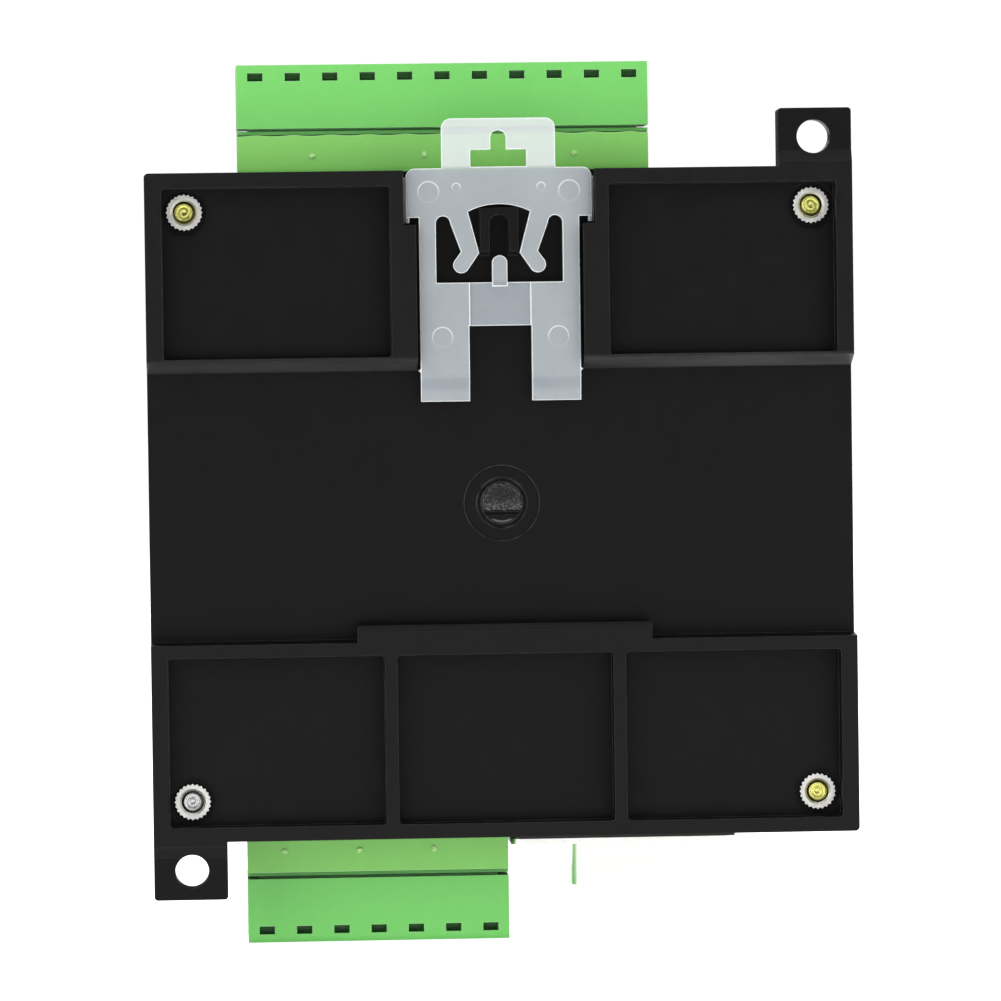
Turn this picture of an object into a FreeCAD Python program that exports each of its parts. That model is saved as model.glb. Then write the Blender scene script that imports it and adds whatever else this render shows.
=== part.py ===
"""Stepper driver module: a rail-mount case with two pluggable terminals and a serial socket.

Frame: +Z is up as mounted, +X runs along the rail, the front faces -Y and the back +Y.
The origin is the middle of the rail seat: y = 0 is the floor of the rail channel.
Every size is a named cell of the sheet "Sizes", in millimetres.
"""
import FreeCAD
import Part
import Sketcher
import math
import os
import re

SIZES = (
    # case
    ("body_width", 95.0, "case, along the rail"),
    ("body_height", 89.6, "case, across the rail"),
    ("channel_depth", 4.0, "rail channel, below the back plane"),
    ("shell_wall", 2.0, "rear shell walls and floor"),
    ("shell_rim", 7.6, "parting plane, in front of the channel floor"),
    ("rail_upper", 18.0, "channel's upper wall at the floor"),
    ("rail_lower", 18.1, "channel's lower wall at the floor"),
    ("rail_slope", 1.5, "lean of the upper wall"),
    ("rail_draft", 0.3, "lean of the lower wall"),
    ("lip_half", 19.8, "fixed rail lip, half its length"),
    ("lip_reach", 2.3, "lip over the rail's flange"),
    ("lip_gap", 1.4, "room under the lip for the flange"),
    ("lip_bevel", 0.5, "lead-in on the lip's outer edge"),
    ("pocket_depth", 3.0, "pockets in the back"),
    ("pocket_corner", 0.5, "corner radius of the pockets"),
    ("rim_side", 2.25, "wall beside the pockets"),
    ("rim_top", 2.05, "wall above the upper pockets"),
    ("rim_bottom", 1.95, "wall below the lower pockets"),
    ("rail_land", 0.3, "flat between upper pockets and channel"),
    ("block_land", 1.75, "flat between lower pockets and channel"),
    ("clip_land", 1.8, "wall between clip recess and upper pockets"),
    ("mid_pocket", 14.5, "middle pocket, half its width"),
    ("pocket_rib", 1.7, "ribs between the lower pockets"),
    ("case_corner", 0.6, "corner radius of the case, seen from the back"),
    # ears
    ("ear_width", 9.9, "mounting ears"),
    ("ear_reach", 7.8, "ears past the case"),
    ("ear_thickness", 3.4, "ears"),
    ("ear_step", 0.8, "ear face below the back plane"),
    ("ear_slope_start", 0.6, "slope of the step, from the case edge"),
    ("ear_slope", 1.5, "slope of the step"),
    ("ear_corner", 0.5, "corner radius of the ears"),
    ("ear_hole_side", 5.1, "ear hole from the case side"),
    ("ear_hole_reach", 3.95, "ear hole past the case"),
    ("ear_hole", 2.25, "ear hole radius"),
    # clip
    ("clip_back", 2.9, "clip's outer face"),
    ("clip_thickness", 1.8, "clip plate"),
    ("clip_play", 0.1, "clip plate above its guide rails"),
    ("clip_side_play", 0.4, "shoulders to the recess wall"),
    ("shoulder_half", 12.45, "clip shoulders, half their width"),
    ("shoulder_top", 45.05, "shoulders"),
    ("shoulder_bottom", 38.5, "shoulders"),
    ("shoulder_corner", 1.2, "corner radius of the shoulders"),
    ("skirt_wall", 0.4, "skirts at the shoulders' sides"),
    ("skirt_drop", 0.7, "skirts below the shoulders"),
    ("skirt_foot", 0.9, "feet of the skirts, outwards"),
    ("foot_thickness", 0.8, "feet of the skirts"),
    ("groove_play", 0.1, "around the feet"),
    ("recess_play", 0.3, "recess step under the skirts"),
    ("head_half", 7.63, "clip head, half its width"),
    ("head_top", 51.7, "clip head"),
    ("head_corner", 1.3, "corner radius of the head"),
    ("slot_half", 3.77, "tool slot, wide part, half its width"),
    ("slot_low", 45.2, "tool slot, wide part"),
    ("slot_high", 47.5, "tool slot, wide part"),
    ("slot_neck", 1.05, "tool slot, neck radius"),
    ("slot_top", 50.1, "tool slot, neck"),
    ("leg_half", 10.75, "clip legs, half the width over them"),
    ("leg_play", 0.45, "legs to the recess wall"),
    ("window_half", 8.53, "clip window, half its width"),
    ("window_low", 29.7, "clip window"),
    ("window_high", 38.65, "clip window beside the arms"),
    ("arch_end", 39.2, "clip window between the arms, at its ends"),
    ("arch_top", 40.2, "clip window between the arms, at its middle"),
    ("arm_outer", 6.53, "arm root, outer edge"),
    ("arm_inner", 4.2, "arm root, inner edge"),
    ("knee_out", 5.14, "arm knee, outer edge"),
    ("knee_high", 33.85, "arm knee, outer edge"),
    ("waist_in", 2.74, "arm waist, inner edge"),
    ("waist_high", 33.65, "arm waist, inner edge"),
    ("lobe_out", 5.14, "arm end, centre"),
    ("lobe_high", 32.05, "arm end, centre"),
    ("lobe_radius", 1.07, "arm end"),
    ("stub_half", 1.0, "guide stub, half its width"),
    ("stub_top", 33.3, "guide stub"),
    ("bar_low", 23.9, "crossbar"),
    ("bar_half", 4.1, "crossbar's thin middle, half its width"),
    ("bar_thin", 0.3, "crossbar's middle, below the outer face"),
    ("leg_inner", 4.2, "lower legs, inner edge"),
    ("leg_low", 13.8, "lower legs, tip"),
    ("leg_crease", 17.1, "start of the ramp at the tip"),
    ("leg_ramp", 0.7, "loss of thickness at the tip"),
    ("barb_reach", 0.35, "barbs on the legs"),
    ("barb_high", 18.3, "barbs"),
    ("barb_drop", 0.9, "barbs"),
    ("clip_travel", 4.0, "clip, to free the rail"),
    # guide rails and boss under the clip
    ("guide_inner", 8.75, "guide rails, inner edge"),
    ("guide_outer", 10.6, "guide rails, outer edge"),
    ("guide_low", 20.0, "guide rails"),
    ("boss_top_half", 4.1, "wedge between the arms, top"),
    ("boss_low_half", 2.55, "wedge between the arms, bottom"),
    ("boss_top", 39.7, "wedge"),
    ("boss_low", 33.3, "wedge"),
    ("boss_wall_gap", 0.15, "boss walls to the arm waists"),
    ("boss_wall_low", 33.9, "boss walls"),
    ("boss_height", 2.5, "boss walls above the floor"),
    ("boss_groove", 1.3, "groove for the stub, half its width"),
    # moulding gate
    ("gate_ring", 5.1, "gate dish radius"),
    ("gate_dish", 0.25, "gate dish depth"),
    ("gate_pit", 3.4, "gate pit radius"),
    ("gate_pit_depth", 0.6, "gate pit depth"),
    ("gate_stub", 2.85, "sprue stub radius"),
    ("gate_stub_top", 0.1, "sprue stub below the floor"),
    ("gate_cut", 0.4, "slot across the sprue stub"),
    ("gate_cut_low", 1.2, "slot below the centre"),
    # fixings
    ("post_side", 5.3, "corner fixings from the case side"),
    ("post_end", 5.2, "corner fixings from the case end"),
    ("post_radius", 3.7, "corner posts"),
    ("insert_radius", 2.5, "knurled insert"),
    ("insert_length", 5.7, "knurled insert"),
    ("insert_sink", 0.05, "insert below the pocket floor"),
    ("insert_bore", 1.5, "insert bore"),
    ("insert_gap", 0.02, "insert in its hole"),
    ("knurl_depth", 0.2, "knurl of the insert"),
    ("knurl_count", 24, "teeth of the knurl"),
    ("counterbore", 3.1, "around the insert"),
    ("counterbore_depth", 0.5, "around the insert"),
    ("screw_radius", 1.45, "cover screws"),
    ("screw_length", 20.0, "cover screws"),
    ("screw_chamfer", 0.25, "tip of the screws"),
    ("screw_hole", 1.7, "screw holes in board and cover"),
    ("head_radius", 2.75, "cover screw heads"),
    ("head_height", 2.0, "cover screw heads"),
    ("head_hole", 3.2, "counterbores in the cover"),
    ("seat_depth", 2.5, "screw seats below the shelf"),
    ("hex_across", 2.5, "hex sockets, across flats"),
    ("hex_depth", 1.2, "hex sockets"),
    # cover
    ("shelf_depth", 22.0, "cover shelf, in front of the channel floor"),
    ("deck_depth", 36.0, "raised deck"),
    ("deck_foot", 30.0, "foot of the deck's slope"),
    ("deck_half", 28.0, "deck, half its height"),
    ("cover_wall", 2.0, "cover"),
    ("deck_corner", 1.0, "edges of the deck"),
    ("opening_gap", 0.25, "cover around the connectors"),
    ("vent_width", 1.6, "vent slots"),
    ("vent_pitch", 4.4, "vent slots"),
    ("vent_count", 15, "vent slots on each side"),
    ("vent_deep", 33.0, "vent slots, front end"),
    ("vent_shallow", 25.0, "vent slots, rear end"),
    ("label_half_wide", 41.0, "label recess"),
    ("label_half_tall", 24.0, "label recess"),
    ("label_recess", 0.2, "label recess"),
    ("label_thickness", 0.3, "front label"),
    ("label_gap", 0.2, "label in its recess"),
    # boards
    ("board_thickness", 1.6, "both boards"),
    ("board_gap", 0.3, "board to the case wall"),
    ("rim_gap", 0.1, "main board face in front of the shell rim"),
    ("control_face", 29.7, "control board face, in front of the channel floor"),
    ("control_half_wide", 38.0, "control board"),
    ("control_half_tall", 24.0, "control board"),
    ("spacer_side", 34.0, "board spacers"),
    ("spacer_high", 20.0, "board spacers"),
    ("spacer_radius", 2.9, "board spacers, over their corners"),
    ("spacer_bore", 1.3, "board spacers"),
    ("spacer_screw", 1.22, "spacer screws"),
    ("spacer_screw_length", 6.0, "spacer screws"),
    ("spacer_head", 2.25, "spacer screw heads"),
    ("spacer_head_height", 1.7, "spacer screw heads"),
    ("solder_tail", 1.5, "pins past the board"),
    # terminals
    ("pole_pitch", 5.08, "terminals"),
    ("upper_poles", 11, "upper terminal"),
    ("lower_poles", 7, "lower terminal"),
    ("terminal_left", 34.9, "left edge of both terminals, seen from the back"),
    ("header_reach", 5.3, "headers past the case"),
    ("header_length", 12.0, "headers"),
    ("header_height", 8.6, "headers"),
    ("header_rear_wall", 1.1, "headers"),
    ("header_front_wall", 1.0, "headers"),
    ("header_end_wall", 1.3, "headers"),
    ("header_base", 3.0, "headers"),
    ("header_pin_slot", 1.6, "rear slots of the headers"),
    ("scallop_depth", 0.15, "scallops of the upper header's mouth"),
    ("scallop_chord", 4.3, "scallops of the upper header's mouth"),
    ("pin_side", 1.0, "header pins"),
    ("pin_face", 12.0, "header pins, in front of the channel floor"),
    ("pin_setback", 0.8, "header pins from the header's back"),
    ("pin_tip", 1.1, "header pins inside the mouth"),
    ("pin_hole", 0.75, "board holes for pins"),
    ("pin_gap", 0.02, "pins in their holes"),
    ("mark_radius", 0.35, "gate marks on the headers"),
    ("mark_height", 0.12, "gate marks on the headers"),
    ("mark_reach", 2.4, "gate marks past the case"),
    # plugs
    ("plug_gap", 0.85, "plug shoulder past the header mouth"),
    ("plug_length", 8.65, "plug past its shoulder"),
    ("plug_rear", 7.5, "plug's rear face, in front of the channel floor"),
    ("plug_height", 15.0, "plugs"),
    ("plug_bevel", 1.2, "front edge of the plugs"),
    ("nose_gap", 0.2, "plug nose in the header"),
    ("nose_end_gap", 0.5, "plug nose to the header's base"),
    ("collar_length", 0.45, "collar at the mouth"),
    ("collar_start", 0.05, "collar past the mouth"),
    ("collar_sink", 0.8, "collar below the rear face"),
    ("window_width", 2.1, "rear windows of the plugs"),
    ("window_tall", 1.1, "rear windows of the plugs"),
    ("window_end", 1.65, "rear windows from the wire end"),
    ("window_sink", 2.2, "rear windows of the plugs"),
    ("cage_wall", 0.5, "wire clamps"),
    ("cage_half", 2.0, "wire clamps, half their width"),
    ("cage_length", 5.4, "wire clamps"),
    ("cage_start", 1.65, "wire clamps past the shoulder"),
    ("cage_low", 11.3, "wire clamps, rear face"),
    ("cage_high", 20.3, "wire clamps, front face"),
    ("chamber_gap", 0.2, "chambers around the clamps"),
    ("entry_half", 1.6, "wire entries, half their width"),
    ("entry_low", 13.3, "wire entries"),
    ("entry_high", 19.0, "wire entries"),
    ("contact_half", 1.1, "contacts, half their width"),
    ("contact_deep", 0.9, "contacts, half their depth"),
    ("contact_gap", 0.05, "contact leaves to the pin"),
    ("contact_bridge", 0.8, "bridge of the contacts"),
    ("contact_room", 0.25, "room around the contacts"),
    ("tongue_thickness", 0.6, "contact tongues in the clamps"),
    ("terminal_screw", 1.4, "terminal screws"),
    ("terminal_hole", 1.5, "thread of the clamps"),
    ("terminal_head", 1.9, "terminal screw heads"),
    ("terminal_head_height", 1.5, "terminal screw heads"),
    ("terminal_head_sink", 0.4, "screw heads below the plug's front"),
    ("terminal_head_play", 0.15, "around the screw heads"),
    ("terminal_tip", 15.0, "screw tips, in front of the channel floor"),
    ("driver_slot", 0.6, "slots of the screws"),
    ("driver_slot_depth", 0.7, "slots of the screws"),
    # serial socket
    ("socket_middle", -16.5, "serial socket, along the rail"),
    ("socket_centre", 13.75, "serial socket, in front of the channel floor"),
    ("socket_reach", 2.1, "flange face past the case"),
    ("flange_width", 30.8, "serial socket flange"),
    ("flange_tall", 12.5, "serial socket flange"),
    ("flange_thickness", 0.8, "serial socket flange"),
    ("flange_corner", 1.6, "corners of the flange"),
    ("flange_hole", 1.55, "holes of the flange"),
    ("flange_spacing", 25.0, "holes of the flange"),
    ("hood_wide", 16.3, "socket shell, wide side"),
    ("hood_narrow", 13.6, "socket shell, narrow side"),
    ("hood_tall", 7.9, "socket shell"),
    ("hood_reach", 5.9, "socket shell past the flange"),
    ("hood_wall", 0.5, "socket shell"),
    ("hood_corner", 1.9, "corners of the socket shell"),
    ("insulator_back", 3.4, "insulator behind the flange"),
    ("insulator_half", 15.0, "insulator behind the flange, half its width"),
    ("insulator_sink", 0.4, "insulator inside the shell's mouth"),
    ("contact_pitch", 2.77, "serial contacts"),
    ("contact_rows", 2.84, "rows of the serial contacts"),
    ("contact_radius", 0.5, "serial contacts"),
    ("contact_bore", 0.52, "holes of the insulator"),
    ("contact_mouth", 0.6, "serial contacts behind the insulator's face"),
    ("long_bend", 38.4, "bend of the front row, from the middle"),
    ("short_bend", 41.2, "bend of the rear row, from the middle"),
    # parts on the boards
    ("capacitor_radius", 5.0, "capacitors"),
    ("capacitor_height", 16.5, "capacitors"),
    ("capacitor_pitch", 11.5, "capacitors"),
    ("capacitor_start", -27.0, "first capacitor"),
    ("capacitor_row", -13.5, "capacitors"),
    ("sink_start", -4.0, "heat sink"),
    ("sink_width", 42.0, "heat sink"),
    ("sink_seat", 2.0, "heat sink, face for the transistors"),
    ("sink_plate", 2.6, "heat sink plate"),
    ("sink_fin", 1.2, "heat sink fins"),
    ("sink_reach", 8.0, "heat sink fins"),
    ("sink_pitch", 5.1, "heat sink fins"),
    ("sink_fins", 9, "heat sink fins"),
    ("sink_low", 8.7, "heat sink, rear end"),
    ("sink_high", 26.0, "heat sink, front end"),
    ("package_width", 9.8, "transistors"),
    ("package_pitch", 10.4, "transistors"),
    ("package_count", 4, "transistors"),
    ("package_thickness", 4.4, "transistors"),
    ("package_tab", 1.3, "transistor tabs"),
    ("package_low", 10.5, "transistors, rear end"),
    ("package_body", 19.0, "transistors, top of the moulding"),
    ("package_high", 25.4, "transistors, end of the tab"),
    ("lead_side", 0.8, "transistor leads"),
    ("lead_pitch", 2.54, "transistor leads and pin links"),
    ("inductor_half", 6.0, "inductor"),
    ("inductor_place", 26.0, "inductor, along the rail"),
    ("inductor_row", -11.0, "inductor"),
    ("inductor_height", 6.5, "inductor"),
    ("chip_half", 5.0, "controller chip"),
    ("chip_height", 1.4, "controller chip"),
    ("chip_lead", 0.3, "controller chip leads"),
    ("chip_lead_pitch", 0.8, "controller chip leads"),
    ("chip_leads", 11, "controller chip leads on a side"),
    ("coupler_wide", 6.4, "opto-couplers"),
    ("coupler_tall", 6.6, "opto-couplers"),
    ("coupler_height", 3.6, "opto-couplers"),
    ("coupler_pitch", 9.5, "opto-couplers"),
    ("coupler_start", 3.0, "first opto-coupler"),
    ("coupler_row", -30.5, "opto-couplers"),
    ("resistor_wide", 6.4, "sense resistors"),
    ("resistor_tall", 3.2, "sense resistors"),
    ("resistor_height", 0.7, "sense resistors"),
    ("link_columns", 8, "pin link"),
    ("link_start", -8.89, "pin link, first column"),
    ("link_row", 17.0, "pin link"),
    ("link_split", 19.5, "where the link's halves meet"),
    ("link_gap", 0.1, "between the link's halves"),
    ("link_pin", 0.64, "link pins"),
    ("lamp_pitch", 7.0, "status lamps"),
    ("lamp_start", 14.0, "first status lamp"),
    ("lamp_row", 14.0, "status lamps"),
    ("lamp_count", 3, "status lamps"),
    ("lamp_height", 0.8, "status lamps"),
    ("lamp_gap", 0.4, "between lamp and light pipe"),
    ("pipe_radius", 1.5, "light pipes"),
    ("pipe_collar", 2.1, "collars of the light pipes"),
    ("pipe_proud", 0.4, "light pipes past the deck"),
    ("pipe_gap", 0.06, "light pipes in the deck"),
    ("switch_middle", -21.0, "setting switch"),
    ("switch_row", -12.0, "setting switch"),
    ("switch_ways", 6, "setting switch"),
    ("switch_pitch", 2.54, "setting switch"),
    ("switch_tall", 6.6, "setting switch"),
    ("switch_end", 2.2, "setting switch past its outer sliders"),
    ("switch_top", 35.8, "setting switch, in front of the channel floor"),
    ("switch_gap", 0.3, "deck around the setting switch"),
    ("slider_half", 0.6, "sliders"),
    ("slider_travel", 1.5, "sliders"),
    ("slider_play", 0.05, "sliders in their slots"),
    ("slider_seat", 2.0, "slots of the sliders"),
    ("slider_proud", 0.7, "sliders past the switch"),
)
NAMES = {name for name, _, _ in SIZES}
SHARP = 1e-4
SLOT_TURN = 67

doc = FreeCAD.newDocument("StepperDriver")
sheet = doc.addObject("Spreadsheet::Sheet", "Sizes")
for row, (cell_name, amount, meaning) in enumerate(SIZES, start=1):
    sheet.set(f"A{row}", cell_name)
    sheet.set(f"B{row}", str(amount))
    sheet.set(f"C{row}", meaning)
    sheet.setAlias(f"B{row}", cell_name)
doc.recompute()


# ---------------------------------------------------------------- tools for the bodies

def number(text):
    """The value of a formula over the sheet's names."""
    found = sheet.evalExpression(str(text))
    return float(getattr(found, "Value", found))


def bind(thing, property_name, text):
    """Tie a property to a formula over the sheet's names."""
    tied = re.sub(r"[a-z_]+", lambda m: f"Sizes.{m[0]}" if m[0] in NAMES else m[0], str(text))
    thing.setExpression(property_name, tied)


def new_body(label):
    body = doc.addObject("PartDesign::Body", label)
    body.Label = label
    return body


def datum(body, role):
    return next(item for item in body.Origin.OriginFeatures if item.Role == role)


def attach(feature, body, role, across="0", along="0", out="0"):
    """Lay a feature on one of its body's planes, moved by three formulas."""
    feature.AttachmentSupport = [(datum(body, role), "")]
    feature.MapMode = "FlatFace"
    for axis, text in (("x", across), ("y", along), ("z", out)):
        bind(feature, f"AttachmentOffset.Base.{axis}", text)


def block(body, name, x_span, y_span, z_span, cut=False):
    """A box between two x, two y and two z."""
    box = body.newObject(f"PartDesign::{'Subtractive' if cut else 'Additive'}Box", name)
    attach(box, body, "XY_Plane", x_span[0], y_span[0], z_span[0])
    for side, (low, high) in (("Length", x_span), ("Width", y_span), ("Height", z_span)):
        bind(box, side, f"({high}) - ({low})")
    return box


def rod(body, name, axis, at, radius, span, cut=False):
    """A cylinder along x, y or z, through two coordinates, between two places on its axis."""
    post = body.newObject(f"PartDesign::{'Subtractive' if cut else 'Additive'}Cylinder", name)
    role, out = {
        "x": ("YZ_Plane", span[0]),
        "y": ("XZ_Plane", f"-({span[1]})"),
        "z": ("XY_Plane", span[0]),
    }[axis]
    attach(post, body, role, at[0], at[1], out)
    bind(post, "Radius", radius)
    bind(post, "Height", f"({span[1]}) - ({span[0]})")
    return post


def outline(body, name, role, points, span, cut=False, arcs=None):
    """A closed outline, drawn on a plane and given a thickness between two places.

    Points are pairs of formulas. arcs maps a side's number to its radius formula;
    the arc bulges to the right of the side.
    """
    sketch = body.newObject("Sketcher::SketchObject", f"{name}_sketch")
    out = f"-({span[1]})" if role == "XZ_Plane" else span[0]
    attach(sketch, body, role, out=out)
    spots = [FreeCAD.Vector(number(x), number(y), 0) for x, y in points]
    arcs = arcs or {}
    for side, start in enumerate(spots):
        end = spots[(side + 1) % len(spots)]
        if side in arcs:
            sketch.addGeometry(arc_between(start, end, number(arcs[side])), False)
        else:
            sketch.addGeometry(Part.LineSegment(start, end), False)
    for side in range(len(spots)):
        following = (side + 1) % len(spots)
        sketch.addConstraint(Sketcher.Constraint("Coincident", side, 2, following, 1))
    for side, pair in enumerate(points):
        for kind, text in zip(("DistanceX", "DistanceY"), pair):
            index = sketch.addConstraint(Sketcher.Constraint(kind, -1, 1, side, 1, number(text)))
            bind(sketch, f"Constraints[{index}]", text)
    for side, text in arcs.items():
        index = sketch.addConstraint(Sketcher.Constraint("Radius", side, number(text)))
        bind(sketch, f"Constraints[{index}]", text)
    pad = body.newObject(f"PartDesign::{'Pocket' if cut else 'Pad'}", name)
    pad.Profile = sketch
    pad.Reversed = cut
    bind(pad, "Length", f"({span[1]}) - ({span[0]})")
    return pad


def arc_between(start, end, radius):
    """The short arc from start to end that bulges to the right of the line between them."""
    middle = (start + end) / 2
    chord = end - start
    left = FreeCAD.Vector(-chord.y, chord.x, 0).normalize()
    rise = math.sqrt(radius ** 2 - (chord.Length / 2) ** 2)
    centre = middle + left * rise
    top = centre - left * radius
    return Part.Arc(start, top, end)


def round_edges(body, name, axis, corners, radius, span=None):
    """Fillet the edges that run along an axis through the given corners."""
    doc.recompute()
    base = body.Tip
    way = "xyz".index(axis)
    others = [index for index in range(3) if index != way]
    places = [(number(a), number(b)) for a, b in corners]
    limits = [number(text) for text in span] if span else [-1e9, 1e9]
    chosen = []
    for index, edge in enumerate(base.Shape.Edges, start=1):
        ends = [vertex.Point for vertex in edge.Vertexes]
        if len(ends) < 2 or (ends[1] - ends[0]).Length < SHARP:
            continue
        steady = all(abs(ends[0][k] - ends[1][k]) < SHARP for k in others)
        here = any(all(abs(ends[0][k] - place[n]) < SHARP for n, k in enumerate(others))
                   for place in places)
        inside = all(limits[0] - SHARP < end[way] < limits[1] + SHARP for end in ends)
        if steady and here and inside:
            chosen.append(f"Edge{index}")
    if not chosen:
        raise RuntimeError(f"{name}: no edge found")
    fillet = body.newObject("PartDesign::Fillet", name)
    fillet.Base = (base, chosen)
    bind(fillet, "Radius", radius)
    return fillet


def row(body, feature, pitch, count, role="X_Axis"):
    """Repeat the feature just made along an axis."""
    line = body.newObject("PartDesign::LinearPattern", f"{feature.Name}_row")
    line.Originals = [feature]
    line.Direction = (datum(body, role), [""])
    bind(line, "Length", f"({pitch}) * (({count}) - 1)")
    bind(line, "Occurrences", count)
    body.Tip = line
    return line


def grid(body, feature, x_pitch, x_count, z_pitch, z_count):
    """Repeat the feature just made along x and z."""
    lines = row(body, feature, x_pitch, x_count)
    lines.Direction2 = (datum(body, "Z_Axis"), [""])
    bind(lines, "Length2", f"({z_pitch}) * (({z_count}) - 1)")
    bind(lines, "Occurrences2", z_count)
    return lines


def corners(body, feature, reach):
    """Repeat the feature just made at the corner (-x, -z) at the other three corners."""
    return grid(body, feature, f"2 * ({reach[0]})", "2", f"2 * ({reach[1]})", "2")


def both_sides(body, feature):
    """Repeat the feature just made on the other side of x = 0."""
    twin = body.newObject("PartDesign::Mirrored", f"{feature.Name}_twin")
    twin.Originals = [feature]
    twin.MirrorPlane = (datum(body, "YZ_Plane"), [""])
    body.Tip = twin
    return twin


def about(middle, half):
    """The span a half width either side of a middle."""
    return f"({middle}) - ({half})", f"({middle}) + ({half})"


def toward(side, low, high):
    """A span of z above the middle, or the same span below it where side is -1."""
    return (low, high) if side > 0 else (f"-({high})", f"-({low})")


# ---------------------------------------------------------------- shared places

CASE_SIDE = "body_width / 2"
CASE_END = "body_height / 2"
POST_X = f"{CASE_SIDE} - post_side"
POST_Z = f"{CASE_END} - post_end"
POST_REACH = (POST_X, POST_Z)
POST = tuple(f"-({text})" for text in POST_REACH)
SPACER_REACH = ("spacer_side", "spacer_high")
SPACER = tuple(f"-({text})" for text in SPACER_REACH)
BOARD_FACE = "-(shell_rim + rim_gap)"
BOARD_BACK = "-(shell_rim + rim_gap - board_thickness)"
CONTROL_FACE = "-control_face"
CONTROL_BACK = "-(control_face - board_thickness)"
POCKET_FLOOR = "channel_depth - pocket_depth"
CLIP_FACE = "clip_back - clip_thickness"
RECESS_WIDE = "shoulder_half + clip_side_play"
RECESS_NARROW = "leg_half + leg_play"
SKIRT_LOW = "shoulder_bottom - skirt_drop"
RECESS_STEP = f"{SKIRT_LOW} - recess_play"
FOOT_LOW = "groove_play * 2"
TAIL_END = f"({BOARD_BACK}) + solder_tail"
TERMINALS = {"top": (1, "upper_poles"), "bottom": (-1, "lower_poles")}
MOUTH = f"{CASE_END} + header_reach"
HEADER_BACK = f"{MOUTH} - header_length"
HEADER_REAR = "-(shell_rim + rim_gap)"
HEADER_FRONT = f"({HEADER_REAR}) - header_height"
PIN_Z = f"{HEADER_BACK} + pin_setback"
SHOULDER = f"{MOUTH} + plug_gap"
PLUG_END = f"{SHOULDER} + plug_length"
PLUG_FRONT = "-(plug_rear + plug_height)"
SCREW_Z = f"{SHOULDER} + cage_start + cage_length / 2"
FLANGE_FACE = f"-({CASE_END} + socket_reach)"
FLANGE_BACK = f"{FLANGE_FACE} + flange_thickness"
SOCKET_Y = "-socket_centre"
LEAD_START = "sink_start + (sink_width - package_pitch * (package_count - 1)) / 2 - lead_pitch"
LEAD_Z = "sink_seat - package_thickness / 2"
SWITCH_HALF = "switch_pitch * (switch_ways - 1) / 2 + switch_end"


def left_edge(poles):
    return f"terminal_left - {poles} * pole_pitch"


def first_pole(poles):
    return f"({left_edge(poles)}) + pole_pitch / 2"


# ---------------------------------------------------------------- case

def make_rear_shell():
    body = new_body("rear_shell")
    upper_edge = "rail_upper + rail_slope"
    lower_edge = "rail_lower + rail_draft"
    outline(body, "case_profile", "YZ_Plane", (
        ("channel_depth", CASE_END),
        ("channel_depth", upper_edge),
        ("0", "rail_upper"),
        ("0", "-rail_lower"),
        ("channel_depth", f"-({lower_edge})"),
        ("channel_depth", f"-({CASE_END})"),
        ("-shell_rim", f"-({CASE_END})"),
        ("-shell_rim", CASE_END),
    ), about("0", CASE_SIDE))
    make_ears(body)
    round_edges(body, "case_corners", "y", (
        (CASE_SIDE, CASE_END),
        (f"-({CASE_SIDE})", f"-({CASE_END})"),
    ), "case_corner")
    block(body, "cavity", about("0", f"{CASE_SIDE} - shell_wall"),
          ("-shell_rim - 1", "-shell_wall"), about("0", f"{CASE_END} - shell_wall"), cut=True)
    make_pockets(body, upper_edge, lower_edge)
    make_clip_seat(body)
    lip_edge = f"-({lower_edge}) + lip_reach"
    outline(body, "rail_lip", "YZ_Plane", (
        ("lip_gap", f"-({lower_edge}) - 0.1"),
        ("lip_gap", lip_edge),
        ("channel_depth - lip_bevel", lip_edge),
        ("channel_depth", f"{lip_edge} - lip_bevel"),
        ("channel_depth", f"-({lower_edge}) - 0.1"),
    ), about("0", "lip_half"))
    make_gate(body)
    make_shell_posts(body)
    return body


def make_ears(body):
    for side in (1, -1):
        rise = [f"{side} * ({CASE_END} {more})" for more in (
            "- shell_wall", "+ ear_slope_start", "+ ear_slope_start + ear_slope", "+ ear_reach")]
        face = "channel_depth - ear_step"
        span = (f"-({CASE_SIDE})", f"-({CASE_SIDE}) + ear_width")
        if side < 0:
            span = (f"{CASE_SIDE} - ear_width", CASE_SIDE)
        name = "upper_ear" if side > 0 else "lower_ear"
        outline(body, name, "YZ_Plane", (
            ("channel_depth", rise[0]),
            ("channel_depth", rise[1]),
            (face, rise[2]),
            (face, rise[3]),
            (f"{face} - ear_thickness", rise[3]),
            (f"{face} - ear_thickness", rise[0]),
        ), span)
        rod(body, f"{name}_hole", "y",
            (f"-{side} * ({CASE_SIDE} - ear_hole_side)", f"{side} * ({CASE_END} + ear_hole_reach)"),
            "ear_hole", ("-ear_thickness * 2", "channel_depth + 1"), cut=True)
        round_edges(body, f"{name}_corners", "y", (
            (span[0], rise[3]), (span[1], rise[3])), "ear_corner")


def make_pockets(body, upper_edge, lower_edge):
    depth = (POCKET_FLOOR, "channel_depth + 1")
    upper = (f"{upper_edge} + rail_land", f"{CASE_END} - rim_top")
    lower = (f"-({CASE_END} - rim_bottom)", f"-({lower_edge} + block_land)")
    outer = f"{CASE_SIDE} - rim_side"
    clip_side = f"{RECESS_WIDE} + clip_land"
    rib_side = "mid_pocket + pocket_rib"
    spans = (
        ("upper_left", (clip_side, outer), upper),
        ("upper_right", (f"-({outer})", f"-({clip_side})"), upper),
        ("lower_left", (rib_side, outer), lower),
        ("lower_middle", ("-mid_pocket", "mid_pocket"), lower),
        ("lower_right", (f"-({outer})", f"-({rib_side})"), lower),
    )
    turns = []
    for name, x_span, z_span in spans:
        block(body, f"{name}_pocket", x_span, depth, z_span, cut=True)
        turns += [(x, z) for x in x_span for z in z_span]
    round_edges(body, "pocket_corners", "y", turns, "pocket_corner")


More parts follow.
